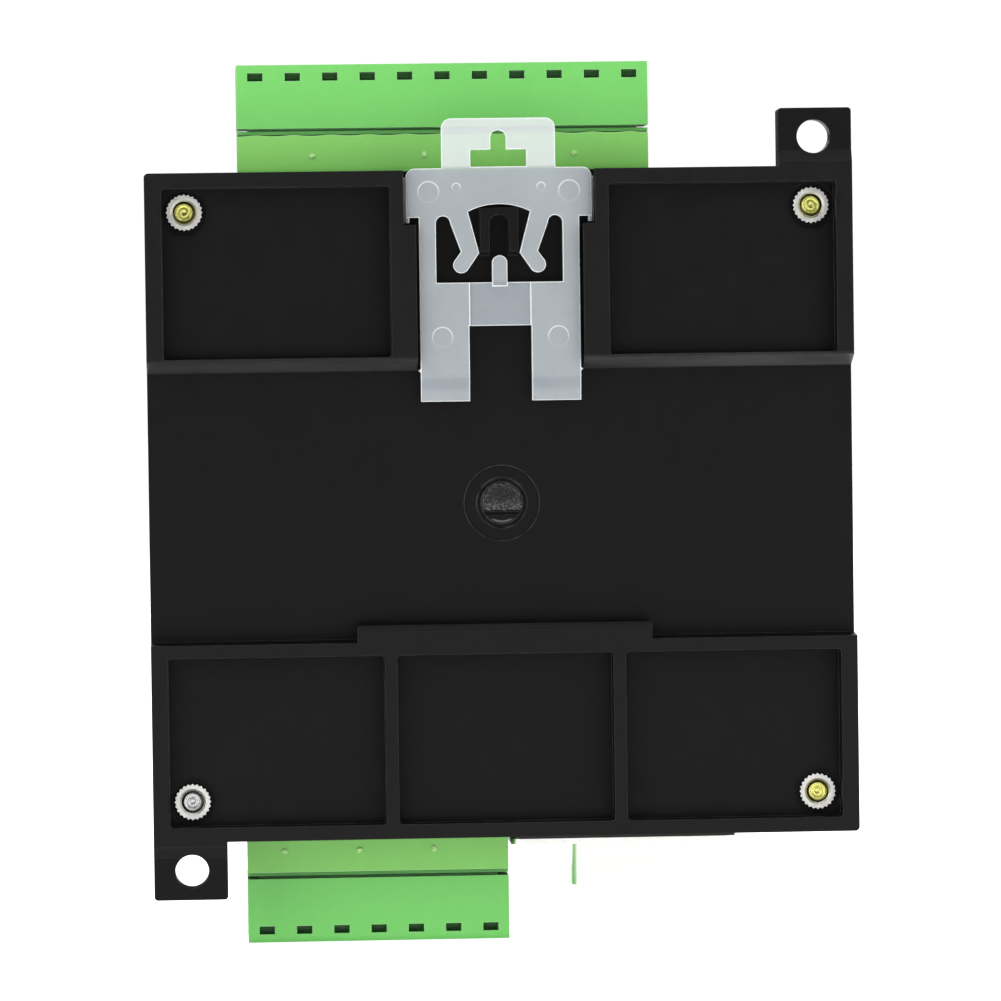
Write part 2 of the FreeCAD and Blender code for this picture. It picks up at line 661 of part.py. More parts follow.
def make_clip_seat(body):
    """The clip's recess, the rails it slides on, and the wedge between its arms."""
    depth = ("0", "channel_depth + 1")
    block(body, "wide_recess", about("0", RECESS_WIDE), depth,
          (RECESS_STEP, f"{CASE_END} + 1"), cut=True)
    block(body, "narrow_recess", about("0", RECESS_NARROW), depth,
          ("rail_upper - 1", f"{RECESS_STEP} + 0.1"), cut=True)
    both_sides(body, block(body, "guide_rail", ("guide_inner", "guide_outer"),
                           ("-0.1", f"{CLIP_FACE} - clip_play"), ("guide_low", CASE_END)))
    foot = (FOOT_LOW + " - groove_play", f"{FOOT_LOW} + foot_thickness + groove_play")
    both_sides(body, block(
        body, "foot_groove", (f"{RECESS_WIDE} - 0.1", "shoulder_half + skirt_foot + groove_play"),
        foot, (RECESS_STEP, f"{CASE_END} + 1"), cut=True))
    wall = "waist_in - boss_wall_gap"
    outline(body, "wedge", "XZ_Plane", (
        ("-boss_low_half", "boss_low"),
        ("boss_low_half", "boss_low"),
        ("boss_top_half", "boss_top"),
        ("-boss_top_half", "boss_top"),
    ), ("-0.1", f"{CLIP_FACE} - clip_play"))
    block(body, "boss_walls", about("0", wall), ("-0.1", "boss_height"),
          ("boss_wall_low", "boss_top"))
    block(body, "boss_groove_cut", about("0", "boss_groove"), depth,
          ("boss_low - 1", "boss_top - boss_groove - 0.9"), cut=True)
    rod(body, "boss_groove_end", "y", ("0", "boss_top - boss_groove - 0.9"), "boss_groove",
        depth, cut=True)


def make_gate(body):
    """The mark where the shell was filled: a dish, a pit and a broken sprue stub."""
    centre = ("0", "0")
    rod(body, "gate_dish_cut", "y", centre, "gate_ring", ("-gate_dish", "1"), cut=True)
    rod(body, "gate_pit_cut", "y", centre, "gate_pit", ("-gate_pit_depth", "1"), cut=True)
    rod(body, "sprue_stub", "y", centre, "gate_stub", ("-gate_pit_depth - 0.1", "-gate_stub_top"))
    block(body, "sprue_cut", about("0", "gate_stub + 0.1"), ("-gate_pit_depth", "1"),
          ("-gate_cut_low - gate_cut", "-gate_cut_low"), cut=True)


def make_shell_posts(body):
    insert_top = f"{POCKET_FLOOR} - insert_sink"
    corners(body, rod(body, "post", "y", POST, "post_radius", (BOARD_BACK, "-shell_wall + 0.1")),
            POST_REACH)
    for name, radius, span in (
            ("insert_hole", "insert_radius + insert_gap",
             (f"{insert_top} - insert_length", "channel_depth")),
            ("screw_way", "screw_hole", (f"{BOARD_BACK} - 1", "channel_depth")),
            ("counterbore_cut", "counterbore",
             (f"{POCKET_FLOOR} - counterbore_depth", "channel_depth"))):
        corners(body, rod(body, name, "y", POST, radius, span, cut=True), POST_REACH)


def make_corner_inserts():
    """Knurled bushes, one in each corner post, flush with the pocket floor."""
    body = new_body("corner_inserts")
    top = f"{POCKET_FLOOR} - insert_sink"
    tips = []
    for step in range(2 * int(number("knurl_count"))):
        radius = "insert_radius" if step % 2 else "(insert_radius - knurl_depth)"
        angle = f"{step} * 180deg / knurl_count"
        tips.append((f"{POST[0]} + {radius} * cos({angle})", f"{POST[1]} + {radius} * sin({angle})"))
    corners(body, outline(body, "knurl", "XZ_Plane", tips, (f"{top} - insert_length", top)),
            POST_REACH)
    corners(body, rod(body, "bore", "y", POST, "insert_bore",
                      (f"{top} - insert_length - 1", f"{top} + 1"), cut=True), POST_REACH)
    return body


def hexagon(at, radius):
    return [(f"{at[0]} + {radius} * cos({60 * corner}deg)", f"{at[1]} + {radius} * sin({60 * corner}deg)")
            for corner in range(6)]


def make_cover_screws():
    """Four socket screws from the cover's shelf to the inserts."""
    body = new_body("cover_screws")
    seat = "-(shelf_depth - seat_depth)"
    tip = f"{seat} + screw_length"
    for name, radius, span in (
            ("shank", "screw_radius", (seat, f"{tip} - screw_chamfer")),
            ("tip", "screw_radius - screw_chamfer", (f"{tip} - screw_chamfer", tip)),
            ("head", "head_radius", (f"{seat} - head_height", seat))):
        corners(body, rod(body, name, "y", POST, radius, span), POST_REACH)
    socket = outline(body, "hex_socket", "XZ_Plane", hexagon(POST, "hex_across / sqrt(3)"),
                     (f"{seat} - head_height - 0.1", f"{seat} - head_height + hex_depth"), cut=True)
    corners(body, socket, POST_REACH)
    return body


def make_front_cover():
    body = new_body("front_cover")
    slope = "(deck_foot - deck_half) / (deck_depth - shelf_depth)"
    outer = (("-shell_rim", CASE_END), ("-shelf_depth", CASE_END), ("-shelf_depth", "deck_foot"),
             ("-deck_depth", "deck_half"))
    inner_foot = f"deck_foot - cover_wall - cover_wall * {slope}"
    inner_deck = f"deck_half - cover_wall + cover_wall * {slope}"
    inner = (("-shell_rim + 1", f"{CASE_END} - cover_wall"),
             ("-shelf_depth + cover_wall", f"{CASE_END} - cover_wall"),
             ("-shelf_depth + cover_wall", inner_foot),
             ("-deck_depth + cover_wall", inner_deck))
    for name, half, x_span, cut in (
            ("cover_profile", outer, about("0", CASE_SIDE), False),
            ("cover_cavity", inner, about("0", f"{CASE_SIDE} - cover_wall"), True)):
        lower = [(y, f"-({z})") for y, z in reversed(half)]
        outline(body, name, "YZ_Plane", list(half) + lower, x_span, cut=cut)
        if not cut:
            round_edges(body, "deck_edges", "x", (
                ("-deck_depth", "deck_half"), ("-deck_depth", "-deck_half"),
                ("-shelf_depth", CASE_END), ("-shelf_depth", f"-({CASE_END})")), "deck_corner")
    for name, (side, poles) in TERMINALS.items():
        block(body, f"{name}_opening",
              (f"{left_edge(poles)} - opening_gap", "terminal_left + opening_gap"),
              (f"({HEADER_FRONT}) - opening_gap", "-shell_rim + 1"),
              toward(side, f"{CASE_END} - cover_wall - 1", f"{CASE_END} + 1"), cut=True)
    block(body, "socket_opening", about("socket_middle", "flange_width / 2 + opening_gap"),
          (f"{SOCKET_Y} - flange_tall / 2 - opening_gap", "-shell_rim + 1"),
          toward(-1, f"{CASE_END} - cover_wall - 1", f"{CASE_END} + 1"), cut=True)
    make_cover_posts(body)
    make_deck_openings(body)
    return body


def make_cover_posts(body):
    corners(body, rod(body, "post", "y", POST, "post_radius",
                      ("-shelf_depth + cover_wall / 2", BOARD_FACE)), POST_REACH)
    corners(body, rod(body, "screw_way", "y", POST, "screw_hole",
                      ("-shelf_depth - 1", f"{BOARD_FACE} + 1"), cut=True), POST_REACH)
    corners(body, rod(body, "screw_seat", "y", POST, "head_hole",
                      ("-shelf_depth - 1", "-(shelf_depth - seat_depth)"), cut=True), POST_REACH)


def make_deck_openings(body):
    for name, side in (("upper", 1), ("lower", -1)):
        vent = block(body, f"{name}_vent",
                     about("-vent_pitch * (vent_count - 1) / 2", "vent_width / 2"),
                     ("-vent_deep", "-vent_shallow"),
                     toward(side, "deck_half - cover_wall * 2", "deck_foot + 1"), cut=True)
        row(body, vent, "vent_pitch", "vent_count")
    block(body, "label_bed", about("0", "label_half_wide"),
          ("-deck_depth - 1", "-deck_depth + label_recess"), about("0", "label_half_tall"), cut=True)
    cut_deck_windows(body, ("-deck_depth - 1", "-deck_depth + cover_wall + 1"), "0")


def cut_deck_windows(body, depth, extra):
    """Openings for the setting switch and the light pipes."""
    block(body, "switch_window", about("switch_middle", f"{SWITCH_HALF} + switch_gap + {extra}"),
          depth, about("switch_row", f"switch_tall / 2 + switch_gap + {extra}"), cut=True)
    hole = rod(body, "pipe_hole", "y", ("lamp_start", "lamp_row"),
               f"pipe_radius + pipe_gap + {extra}", depth, cut=True)
    row(body, hole, "lamp_pitch", "lamp_count")


def make_front_label():
    body = new_body("front_label")
    bed = "-deck_depth + label_recess"
    block(body, "sheet", about("0", "label_half_wide - label_gap"),
          (f"{bed} - label_thickness", bed), about("0", "label_half_tall - label_gap"))
    cut_deck_windows(body, (f"{bed} - label_thickness - 1", f"{bed} + 1"), "label_gap")
    return body


# ---------------------------------------------------------------- rail clip

def make_din_clip():
    """One springy plate that slides in the shell and hooks behind the rail."""
    body = new_body("din_clip")
    plate = (CLIP_FACE, "clip_back")
    through = (f"{CLIP_FACE} - 1", "clip_back + 1")
    block(body, "frame", about("0", "leg_half"), plate, ("leg_low", "shoulder_bottom + 1"))
    block(body, "shoulders", about("0", "shoulder_half"), plate,
          ("shoulder_bottom", "shoulder_top"))
    block(body, "head", about("0", "head_half"), plate, ("shoulder_top - 1", "head_top"))
    round_edges(body, "head_corners", "y", (("head_half", "head_top"), ("-head_half", "head_top")),
                "head_corner")
    round_edges(body, "shoulder_corners", "y", (
        ("shoulder_half", "shoulder_top"), ("-shoulder_half", "shoulder_top")), "shoulder_corner")
    block(body, "leg_gap", about("0", "leg_inner"), through, ("leg_low - 1", "bar_low"), cut=True)
    block(body, "bar_relief", about("0", "bar_half"), ("clip_back - bar_thin", "clip_back + 1"),
          ("bar_low - 1", "window_low + 1"), cut=True)
    block(body, "window", about("0", "window_half"), through,
          ("window_low", "window_high - (window_half - arm_outer) / 2"), cut=True)
    both_sides(body, rod(
        body, "window_side", "y",
        ("(window_half + arm_outer) / 2", "window_high - (window_half - arm_outer) / 2"),
        "(window_half - arm_outer) / 2", through, cut=True))
    arch_radius = "(arm_inner ^ 2 + (arch_top - arch_end) ^ 2) / (2 * (arch_top - arch_end))"
    outline(body, "arch", "XZ_Plane", (
        ("-arm_inner", "window_high - 2"),
        ("arm_inner", "window_high - 2"),
        ("arm_inner", "arch_end"),
        ("-arm_inner", "arch_end"),
    ), through, cut=True, arcs={2: arch_radius})
    make_clip_arms(body, plate)
    block(body, "stub", about("0", "stub_half"), plate,
          ("window_low - 0.5", "stub_top - stub_half"))
    rod(body, "stub_end", "y", ("0", "stub_top - stub_half"), "stub_half", plate)
    make_tool_slot(body, through)
    make_clip_legs(body)
    make_clip_skirts(body)
    return body


def make_clip_arms(body, plate):
    """Two arms that hang from the shoulders, bend in at the waist and end in a round lobe."""
    lean = 40
    for name, side in (("left", 1), ("right", -1)):
        points = [
            ("arm_outer", "window_high + 0.5"),
            ("arm_outer", "window_high - (window_half - arm_outer) / 2"),
            ("knee_out", "knee_high"),
            (f"lobe_out + lobe_radius * cos({lean}deg)", f"lobe_high + lobe_radius * sin({lean}deg)"),
            (f"lobe_out - lobe_radius * cos({lean}deg)", f"lobe_high - lobe_radius * sin({lean}deg)"),
            ("waist_in", "waist_high"),
            ("arm_inner", "arch_end"),
            ("arm_inner", "window_high + 0.5"),
        ]
        if side < 0:
            points = [(f"-({x})", z) for x, z in reversed(points)]
        outline(body, f"{name}_arm", "XZ_Plane", points, plate)
        rod(body, f"{name}_lobe", "y", (f"{side} * lobe_out", "lobe_high"), "lobe_radius", plate)


def make_tool_slot(body, through):
    block(body, "slot_wide", about("0", "slot_half"), through, ("slot_low", "slot_high"), cut=True)
    block(body, "slot_neck_cut", about("0", "slot_neck"), through,
          ("slot_low", "slot_top - slot_neck"), cut=True)
    rod(body, "slot_end", "y", ("0", "slot_top - slot_neck"), "slot_neck", through, cut=True)


def make_clip_legs(body):
    """Ramped tips that snap over the rail, with a small barb outside each."""
    outline(body, "tip_ramp", "YZ_Plane", (
        ("clip_back", "leg_crease"),
        ("clip_back + 1", "leg_crease"),
        ("clip_back + 1", "leg_low - 1"),
        ("clip_back - leg_ramp", "leg_low - 1"),
        ("clip_back - leg_ramp", "leg_low"),
    ), about("0", "leg_half + 1"), cut=True)
    for side in (1, -1):
        points = [
            (f"{side} * (leg_half - 0.3)", "barb_high"),
            (f"{side} * (leg_half + barb_reach)", "barb_high - barb_drop / 3"),
            (f"{side} * (leg_half - 0.3)", "barb_high - barb_drop"),
        ]
        outline(body, f"barb_{'left' if side > 0 else 'right'}", "XZ_Plane",
                points if side < 0 else points[::-1], (CLIP_FACE, "clip_back - 0.3"))


def make_clip_skirts(body):
    """Thin walls at the shoulders' sides, with feet in the shell's grooves."""
    tall = (SKIRT_LOW, "shoulder_top - shoulder_corner")
    both_sides(body, block(body, "skirt", ("shoulder_half - skirt_wall", "shoulder_half"),
                           (FOOT_LOW, "clip_back - 0.2"), tall))
    both_sides(body, block(body, "foot", ("shoulder_half - 0.1", "shoulder_half + skirt_foot"),
                           (FOOT_LOW, f"{FOOT_LOW} + foot_thickness"), tall))


# ---------------------------------------------------------------- boards

def make_main_board():
    body = new_body("main_board")
    faces = (BOARD_FACE, BOARD_BACK)
    through = (f"{BOARD_FACE} - 1", f"{BOARD_BACK} + 1")
    block(body, "laminate", about("0", f"{CASE_SIDE} - shell_wall - board_gap"), faces,
          about("0", f"{CASE_END} - shell_wall - board_gap"))
    corners(body, rod(body, "corner_hole", "y", POST, "screw_hole", through, cut=True), POST_REACH)
    corners(body, rod(body, "spacer_hole", "y", SPACER, "spacer_bore", through, cut=True),
            SPACER_REACH)
    for name, (side, poles) in TERMINALS.items():
        row(body, rod(body, f"{name}_pin_hole", "y", (first_pole(poles), f"{side} * ({PIN_Z})"),
                      "pin_hole", through, cut=True), "pole_pitch", poles)
    for name, (count, _, bend) in serial_rows().items():
        row(body, rod(body, f"{name}_contact_hole", "y", (serial_start(count), f"-({bend})"),
                      "contact_radius + 0.1", through, cut=True), "contact_pitch", count)
    for step in range(3):
        row(body, rod(body, f"lead_hole_{step}", "y", (f"{LEAD_START} + {step} * lead_pitch", LEAD_Z),
                      "lead_side * 0.75", through, cut=True), "package_pitch", "package_count")
    grid(body, rod(body, "link_hole", "y", ("link_start", "link_row"), "link_pin * 0.8",
                   through, cut=True), "lead_pitch", "link_columns", "lead_pitch", "2")
    return body


def make_control_board():
    body = new_body("control_board")
    through = (f"{CONTROL_FACE} - 1", f"{CONTROL_BACK} + 1")
    block(body, "laminate", about("0", "control_half_wide"), (CONTROL_FACE, CONTROL_BACK),
          about("0", "control_half_tall"))
    corners(body, rod(body, "spacer_hole", "y", SPACER, "spacer_bore", through, cut=True),
            SPACER_REACH)
    return body


def make_board_spacers():
    """Four hexagonal spacers between the boards."""
    body = new_body("board_spacers")
    corners(body, outline(body, "hexagon", "XZ_Plane", hexagon(SPACER, "spacer_radius"),
                          (CONTROL_BACK, BOARD_FACE)), SPACER_REACH)
    corners(body, rod(body, "bore", "y", SPACER, "spacer_bore",
                      (f"{CONTROL_BACK} - 1", f"{BOARD_FACE} + 1"), cut=True), SPACER_REACH)
    return body


def make_spacer_screws():
    """Screws into both ends of the spacers."""
    body = new_body("spacer_screws")
    for name, radius, span in (
            ("rear_head", "spacer_head", (BOARD_BACK, f"{BOARD_BACK} + spacer_head_height")),
            ("rear_shank", "spacer_screw", (f"{BOARD_BACK} - spacer_screw_length", BOARD_BACK)),
            ("front_head", "spacer_head", (f"{CONTROL_FACE} - spacer_head_height", CONTROL_FACE)),
            ("front_shank", "spacer_screw", (CONTROL_FACE, f"{CONTROL_FACE} + spacer_screw_length"))):
        corners(body, rod(body, name, "y", SPACER, radius, span), SPACER_REACH)
    return body


def make_board_link():
    """A tall pin header on the main board and its socket behind the control board."""
    half = "lead_pitch / 2"
    x_span = (f"link_start - {half}", f"link_start + (link_columns - 0.5) * lead_pitch")
    z_span = (f"link_row - {half}", f"link_row + lead_pitch * 1.5")
    split = "-link_split"
    header = new_body("link_header")
    block(header, "insulator", x_span, (split, BOARD_FACE), z_span)
    socket = new_body("link_socket")
    block(socket, "insulator", x_span, (CONTROL_BACK, f"{split} - link_gap"), z_span)
    pins = new_body("link_pins")
    for body, extra, front in ((header, "pin_gap", "0.9"), (socket, "pin_gap", "0.9"), (pins, "0", "1")):
        feature = block(body, "pin" if body is pins else "pin_way",
                        about("link_start", f"link_pin / 2 + {extra}"),
                        (f"{CONTROL_BACK} + {front}", TAIL_END),
                        about("link_row", f"link_pin / 2 + {extra}"), cut=body is not pins)
        grid(body, feature, "lead_pitch", "link_columns", "lead_pitch", "2")
    return header, pins, socket


# ---------------------------------------------------------------- terminals

def make_header(label, side, poles):
    """An open-mouthed header, lying on the main board and reaching out of the case."""
    body = new_body(label)
    x_span = (left_edge(poles), "terminal_left")
    block(body, "housing", x_span, (HEADER_FRONT, HEADER_REAR), toward(side, HEADER_BACK, MOUTH))
    block(body, "mouth", (f"{x_span[0]} + header_end_wall", f"{x_span[1]} - header_end_wall"),
          (f"({HEADER_FRONT}) + header_front_wall", f"({HEADER_REAR}) - header_rear_wall"),
          toward(side, f"{HEADER_BACK} + header_base", f"{MOUTH} + 1"), cut=True)
    row(body, block(body, "pin_slot", about(first_pole(poles), "pin_side / 2 + 0.2"),
                    ("-(pin_face + pin_side / 2 + 0.2)", f"({HEADER_REAR}) + 1"),
                    toward(side, f"{HEADER_BACK} - 1", f"{HEADER_BACK} + header_pin_slot"), cut=True),
        "pole_pitch", poles)
    row(body, block(body, "pin_way", about(first_pole(poles), "pin_side / 2 + pin_gap"),
                    about("-pin_face", "pin_side / 2 + pin_gap"),
                    toward(side, f"{HEADER_BACK} + header_pin_slot - 0.1",
                           f"{HEADER_BACK} + header_base + 1"), cut=True),
        "pole_pitch", poles)
    if side > 0:
        swing = "(scallop_chord ^ 2 / 4 + scallop_depth ^ 2) / (2 * scallop_depth)"
        centre = f"{MOUTH} - scallop_depth + {swing}"
        rear_wall = (f"({HEADER_REAR}) - header_rear_wall - 0.1", f"({HEADER_REAR}) + 1")
        row(body, rod(body, "scallop", "y", (left_edge(poles), centre), swing,
                      rear_wall, cut=True), "pole_pitch", f"{poles} + 1")
    mark_poles = (2, 5, 9) if side > 0 else (1, 3, 5)
    for number_of in mark_poles:
        rod(body, f"mark_{number_of}", "y",
            (f"terminal_left - {number_of} * pole_pitch", f"{side} * ({CASE_END} + mark_reach)"),
            "mark_radius", (f"({HEADER_REAR}) - 0.1", f"({HEADER_REAR}) + mark_height"))
    return body


def make_header_pins(label, side, poles):
    """Square pins, bent once and soldered through the main board."""
    body = new_body(label)
    half = "pin_side / 2"
    x_span = about(first_pole(poles), half)
    row(body, block(body, "reach", x_span, about("-pin_face", half),
                    toward(side, f"{PIN_Z} - {half}", f"{MOUTH} - pin_tip")), "pole_pitch", poles)
    row(body, block(body, "drop", x_span, (f"-pin_face - {half}", TAIL_END),
                    toward(side, f"{PIN_Z} - {half}", f"{PIN_Z} + {half}")), "pole_pitch", poles)
    return body


def make_plug_housing(label, side, poles):
    """The plug's moulding: a tall block outside and a nose inside the header."""
    body = new_body(label)
    x_span = (left_edge(poles), "terminal_left")
    outline(body, "main_block", "YZ_Plane", (
        ("-plug_rear", f"{side} * ({SHOULDER})"),
        ("-plug_rear", f"{side} * ({PLUG_END})"),
        (f"{PLUG_FRONT} + plug_bevel", f"{side} * ({PLUG_END})"),
        (PLUG_FRONT, f"{side} * ({PLUG_END} - plug_bevel)"),
        (PLUG_FRONT, f"{side} * ({SHOULDER} + plug_bevel / 2)"),
        (f"{PLUG_FRONT} + plug_bevel / 2", f"{side} * ({SHOULDER})"),
    ), x_span)
    nose_x = (f"{x_span[0]} + header_end_wall + nose_gap", f"{x_span[1]} - header_end_wall - nose_gap")
    nose_rear = f"({HEADER_REAR}) - header_rear_wall - nose_gap"
    nose_front = f"({HEADER_FRONT}) + header_front_wall + nose_gap"
    nose_tip = f"{HEADER_BACK} + header_base + nose_end_gap"
    block(body, "nose", nose_x, (nose_front, nose_rear), toward(side, nose_tip, f"{SHOULDER} + 0.5"))
    block(body, "collar", x_span, (nose_front, "-(plug_rear + collar_sink)"),
          toward(side, f"{MOUTH} + collar_start", f"{MOUTH} + collar_start + collar_length"))
    first = first_pole(poles)
    wire_wall = f"{SHOULDER} + cage_start + cage_length + chamber_gap"
    boxes = (
        ("chamber", "cage_half + chamber_gap / 2",
         ("-cage_high - chamber_gap", "-cage_low + chamber_gap"),
         (f"{SHOULDER} + cage_start - chamber_gap", wire_wall)),
        ("entry", "entry_half", ("-entry_high", "-entry_low"),
         (f"{wire_wall} - 0.1", f"{PLUG_END} + 1")),
        ("contact_way", "contact_half + contact_room", about("-pin_face", "contact_deep + contact_room"),
         (f"{nose_tip} - 1", f"{SHOULDER} + cage_start + 0.1")),
        ("rear_window", "window_width / 2", ("-plug_rear - window_sink", "-plug_rear + 1"),
         about(f"{PLUG_END} - window_end", "window_tall / 2")),
    )
    for name, half, y_span, z_span in boxes:
        row(body, block(body, name, about(first, half), y_span, toward(side, *z_span), cut=True),
            "pole_pitch", poles)
    row(body, rod(body, "screw_way", "y", (first, f"{side} * ({SCREW_Z})"),
                  "terminal_head + terminal_head_play", (f"{PLUG_FRONT} - 1", "-cage_high"), cut=True),
        "pole_pitch", poles)
    return body


def make_clamps(label, side, poles):
    """Square wire clamps, one round each contact's tongue."""
    body = new_body(label)
    first = first_pole(poles)
    z_span = toward(side, f"{SHOULDER} + cage_start", f"{SHOULDER} + cage_start + cage_length")
    row(body, block(body, "frame", about(first, "cage_half"), ("-cage_high", "-cage_low"), z_span),
        "pole_pitch", poles)
    row(body, block(body, "wire_way", about(first, "cage_half - cage_wall"),
                    ("-cage_high + cage_wall * 2", "-cage_low - cage_wall"),
                    (f"{z_span[0]} - 1", f"{z_span[1]} + 1"), cut=True), "pole_pitch", poles)
    row(body, rod(body, "thread", "y", (first, f"{side} * ({SCREW_Z})"), "terminal_hole",
                  ("-cage_high - 1", "-cage_high + cage_wall * 2 + 0.1"), cut=True),
        "pole_pitch", poles)
    return body


def make_contacts(label, side, poles):
    """Two-leaf spring contacts whose tongues run into the clamps."""
    body = new_body(label)
    first = first_pole(poles)
    pin = "pin_side / 2 + contact_gap"
    nose_tip = f"{HEADER_BACK} + header_base + nose_end_gap"
    bridge = f"{SHOULDER} + cage_start - chamber_gap"
    deep = about("-pin_face", "contact_deep")
    leaf_z = toward(side, f"{nose_tip} + 0.3", bridge)
    pieces = (
        ("near_leaf", (f"{first} - contact_half", f"{first} - ({pin})"), deep, leaf_z),
        ("far_leaf", (f"{first} + {pin}", f"{first} + contact_half"), deep, leaf_z),
        ("bridge", about(first, "contact_half"), deep,
         toward(side, f"{bridge} - contact_bridge", bridge)),
        ("tongue", about(first, "contact_half - 0.1"),
         ("-(pin_face + tongue_thickness + 0.1)", "-(pin_face + 0.1)"),
         toward(side, f"{bridge} - 0.1", f"{bridge} + cage_length")),
    )
    for piece in pieces:
        row(body, block(body, *piece), "pole_pitch", poles)
    return body


def make_terminal_screw(label, side, poles, order):
    """A slotted screw on its own axis, placed over its pole and left at its own angle."""
    body = new_body(label)
    centre = ("0", "0")
    head_front = f"{PLUG_FRONT} + terminal_head_sink"
    rod(body, "head", "y", centre, "terminal_head", (head_front, f"{head_front} + terminal_head_height"))
    rod(body, "shank", "y", centre, "terminal_screw",
        (f"{head_front} + terminal_head_height", "-terminal_tip"))
    block(body, "driver_cut", about("0", "terminal_head + 1"),
          (f"{head_front} - 1", f"{head_front} + driver_slot_depth"),
          about("0", "driver_slot / 2"), cut=True)
    body.Placement.Rotation = FreeCAD.Rotation(FreeCAD.Vector(0, 1, 0), order * SLOT_TURN % 180)
    bind(body, "Placement.Base.x", f"terminal_left - ({order} - 0.5) * pole_pitch")
    bind(body, "Placement.Base.z", f"{side} * ({SCREW_Z})")
    return body


def make_terminal(name, side, poles):
    """One header with its plug, numbered from the left edge as seen from the back."""
    nodes = [
        make_header(f"{name}_header", side, poles),
        make_header_pins(f"{name}_header_pins", side, poles),
        make_plug_housing(f"{name}_plug_housing", side, poles),
        make_clamps(f"{name}_plug_clamps", side, poles),
        make_contacts(f"{name}_plug_contacts", side, poles),
    ]
    for order in range(1, int(number(poles)) + 1):
        nodes.append(make_terminal_screw(f"{name}_screw_{order}", side, poles, order))
    return nodes


# ---------------------------------------------------------------- serial socket

def serial_rows():
    """Contacts in a row, the row's y, and how far down its pins bend."""
    return {
        "five": (5, f"{SOCKET_Y} - contact_rows / 2", "long_bend"),
        "four": (4, f"{SOCKET_Y} + contact_rows / 2", "short_bend"),
    }


def serial_start(count):
    return f"socket_middle - contact_pitch * {count - 1} / 2"


def hood_outline(inset):
    """The socket's D shape, drawn in from its wall by an inset, wide side to the front."""
    wide = f"(hood_wide / 2 - ({inset}))"
    narrow = f"(hood_narrow / 2 - ({inset}))"
    front = f"{SOCKET_Y} - hood_tall / 2 + ({inset})"
    rear = f"{SOCKET_Y} + hood_tall / 2 - ({inset})"
    return [
        (f"socket_middle - {wide}", front),
        (f"socket_middle + {wide}", front),
        (f"socket_middle + {narrow}", rear),
        (f"socket_middle - {narrow}", rear),
    ]


def make_serial_socket():
    shell = new_body("serial_shell")
    face = FLANGE_FACE
    mouth = f"{face} - hood_reach"
    flange_x = about("socket_middle", "flange_width / 2")
    flange_y = about(SOCKET_Y, "flange_tall / 2")
    block(shell, "flange", flange_x, flange_y, (face, FLANGE_BACK))
    round_edges(shell, "flange_corners", "z", [(x, y) for x in flange_x for y in flange_y],
                "flange_corner")
    for number_of, side in enumerate((1, -1), start=1):
        rod(shell, f"flange_hole_{number_of}", "z",
            (f"socket_middle + {side} * flange_spacing / 2", SOCKET_Y), "flange_hole",
            (f"{face} - 1", f"{FLANGE_BACK} + 1"), cut=True)
    outline(shell, "hood", "XY_Plane", hood_outline("0"), (mouth, f"{face} + 0.1"))
    outline(shell, "hood_bore", "XY_Plane", hood_outline("hood_wall"),
            (f"{mouth} - 1", f"{FLANGE_BACK} + 1"), cut=True)
    round_edges(shell, "bore_corners", "z", hood_outline("hood_wall"), "hood_corner - hood_wall",
                (mouth, FLANGE_BACK))
    round_edges(shell, "hood_corners", "z", hood_outline("0"), "hood_corner", (mouth, f"{face} + 0.1"))

    insulator = new_body("serial_insulator")
    front_face = f"{mouth} + insulator_sink"
    fit = "hood_wall + 0.05"
    back = f"{FLANGE_BACK} + insulator_back"
    outline(insulator, "core", "XY_Plane", hood_outline(fit), (front_face, f"{FLANGE_BACK} + 0.5"))
    round_edges(insulator, "core_corners", "z", hood_outline(fit), f"hood_corner - ({fit})",
                (front_face, f"{FLANGE_BACK} + 0.5"))
    block(insulator, "base", about("socket_middle", "insulator_half"),
          (f"{SOCKET_Y} - flange_tall / 2 + 0.4", BOARD_FACE), (FLANGE_BACK, back))

    contacts = new_body("serial_contacts")
    for name, (count, y_row, bend) in serial_rows().items():
        start = serial_start(count)
        row(insulator, rod(insulator, f"{name}_hole", "z", (start, y_row), "contact_bore",
                           (f"{front_face} - 1", f"{back} + 1"), cut=True), "contact_pitch", count)
        row(contacts, rod(contacts, f"{name}_reach", "z", (start, y_row), "contact_radius",
                          (f"{front_face} + contact_mouth", f"-({bend}) + contact_radius")),
            "contact_pitch", count)
        row(contacts, rod(contacts, f"{name}_drop", "y", (start, f"-({bend})"), "contact_radius",
                          (y_row, TAIL_END)), "contact_pitch", count)
    return shell, insulator, contacts


# ---------------------------------------------------------------- parts on the boards

def make_bulk_capacitors():
    body = new_body("bulk_capacitors")
    top = f"{BOARD_FACE} - capacitor_height"
    at = ("capacitor_start", "capacitor_row")
    row(body, rod(body, "can", "y", at, "capacitor_radius", (top, BOARD_FACE)), "capacitor_pitch", "3")
    long, short = "capacitor_radius * 0.7", "0.2"
    for name, across, up in (("vent_across", long, short), ("vent_up", short, long)):
        row(body, block(body, name, about(at[0], across), (f"{top} - 1", f"{top} + 0.2"),
                        about(at[1], up), cut=True), "capacitor_pitch", "3")
    return body


def make_heat_sink():
    body = new_body("heat_sink")
    height = ("-sink_high", "-sink_low")
    block(body, "plate", ("sink_start", "sink_start + sink_width"), height,
          ("sink_seat", "sink_seat + sink_plate"))
    row(body, block(body, "fin", ("sink_start", "sink_start + sink_fin"), height,
                    ("sink_seat + sink_plate - 0.1", "sink_seat + sink_plate + sink_reach")),
        "sink_pitch", "sink_fins")
    return body


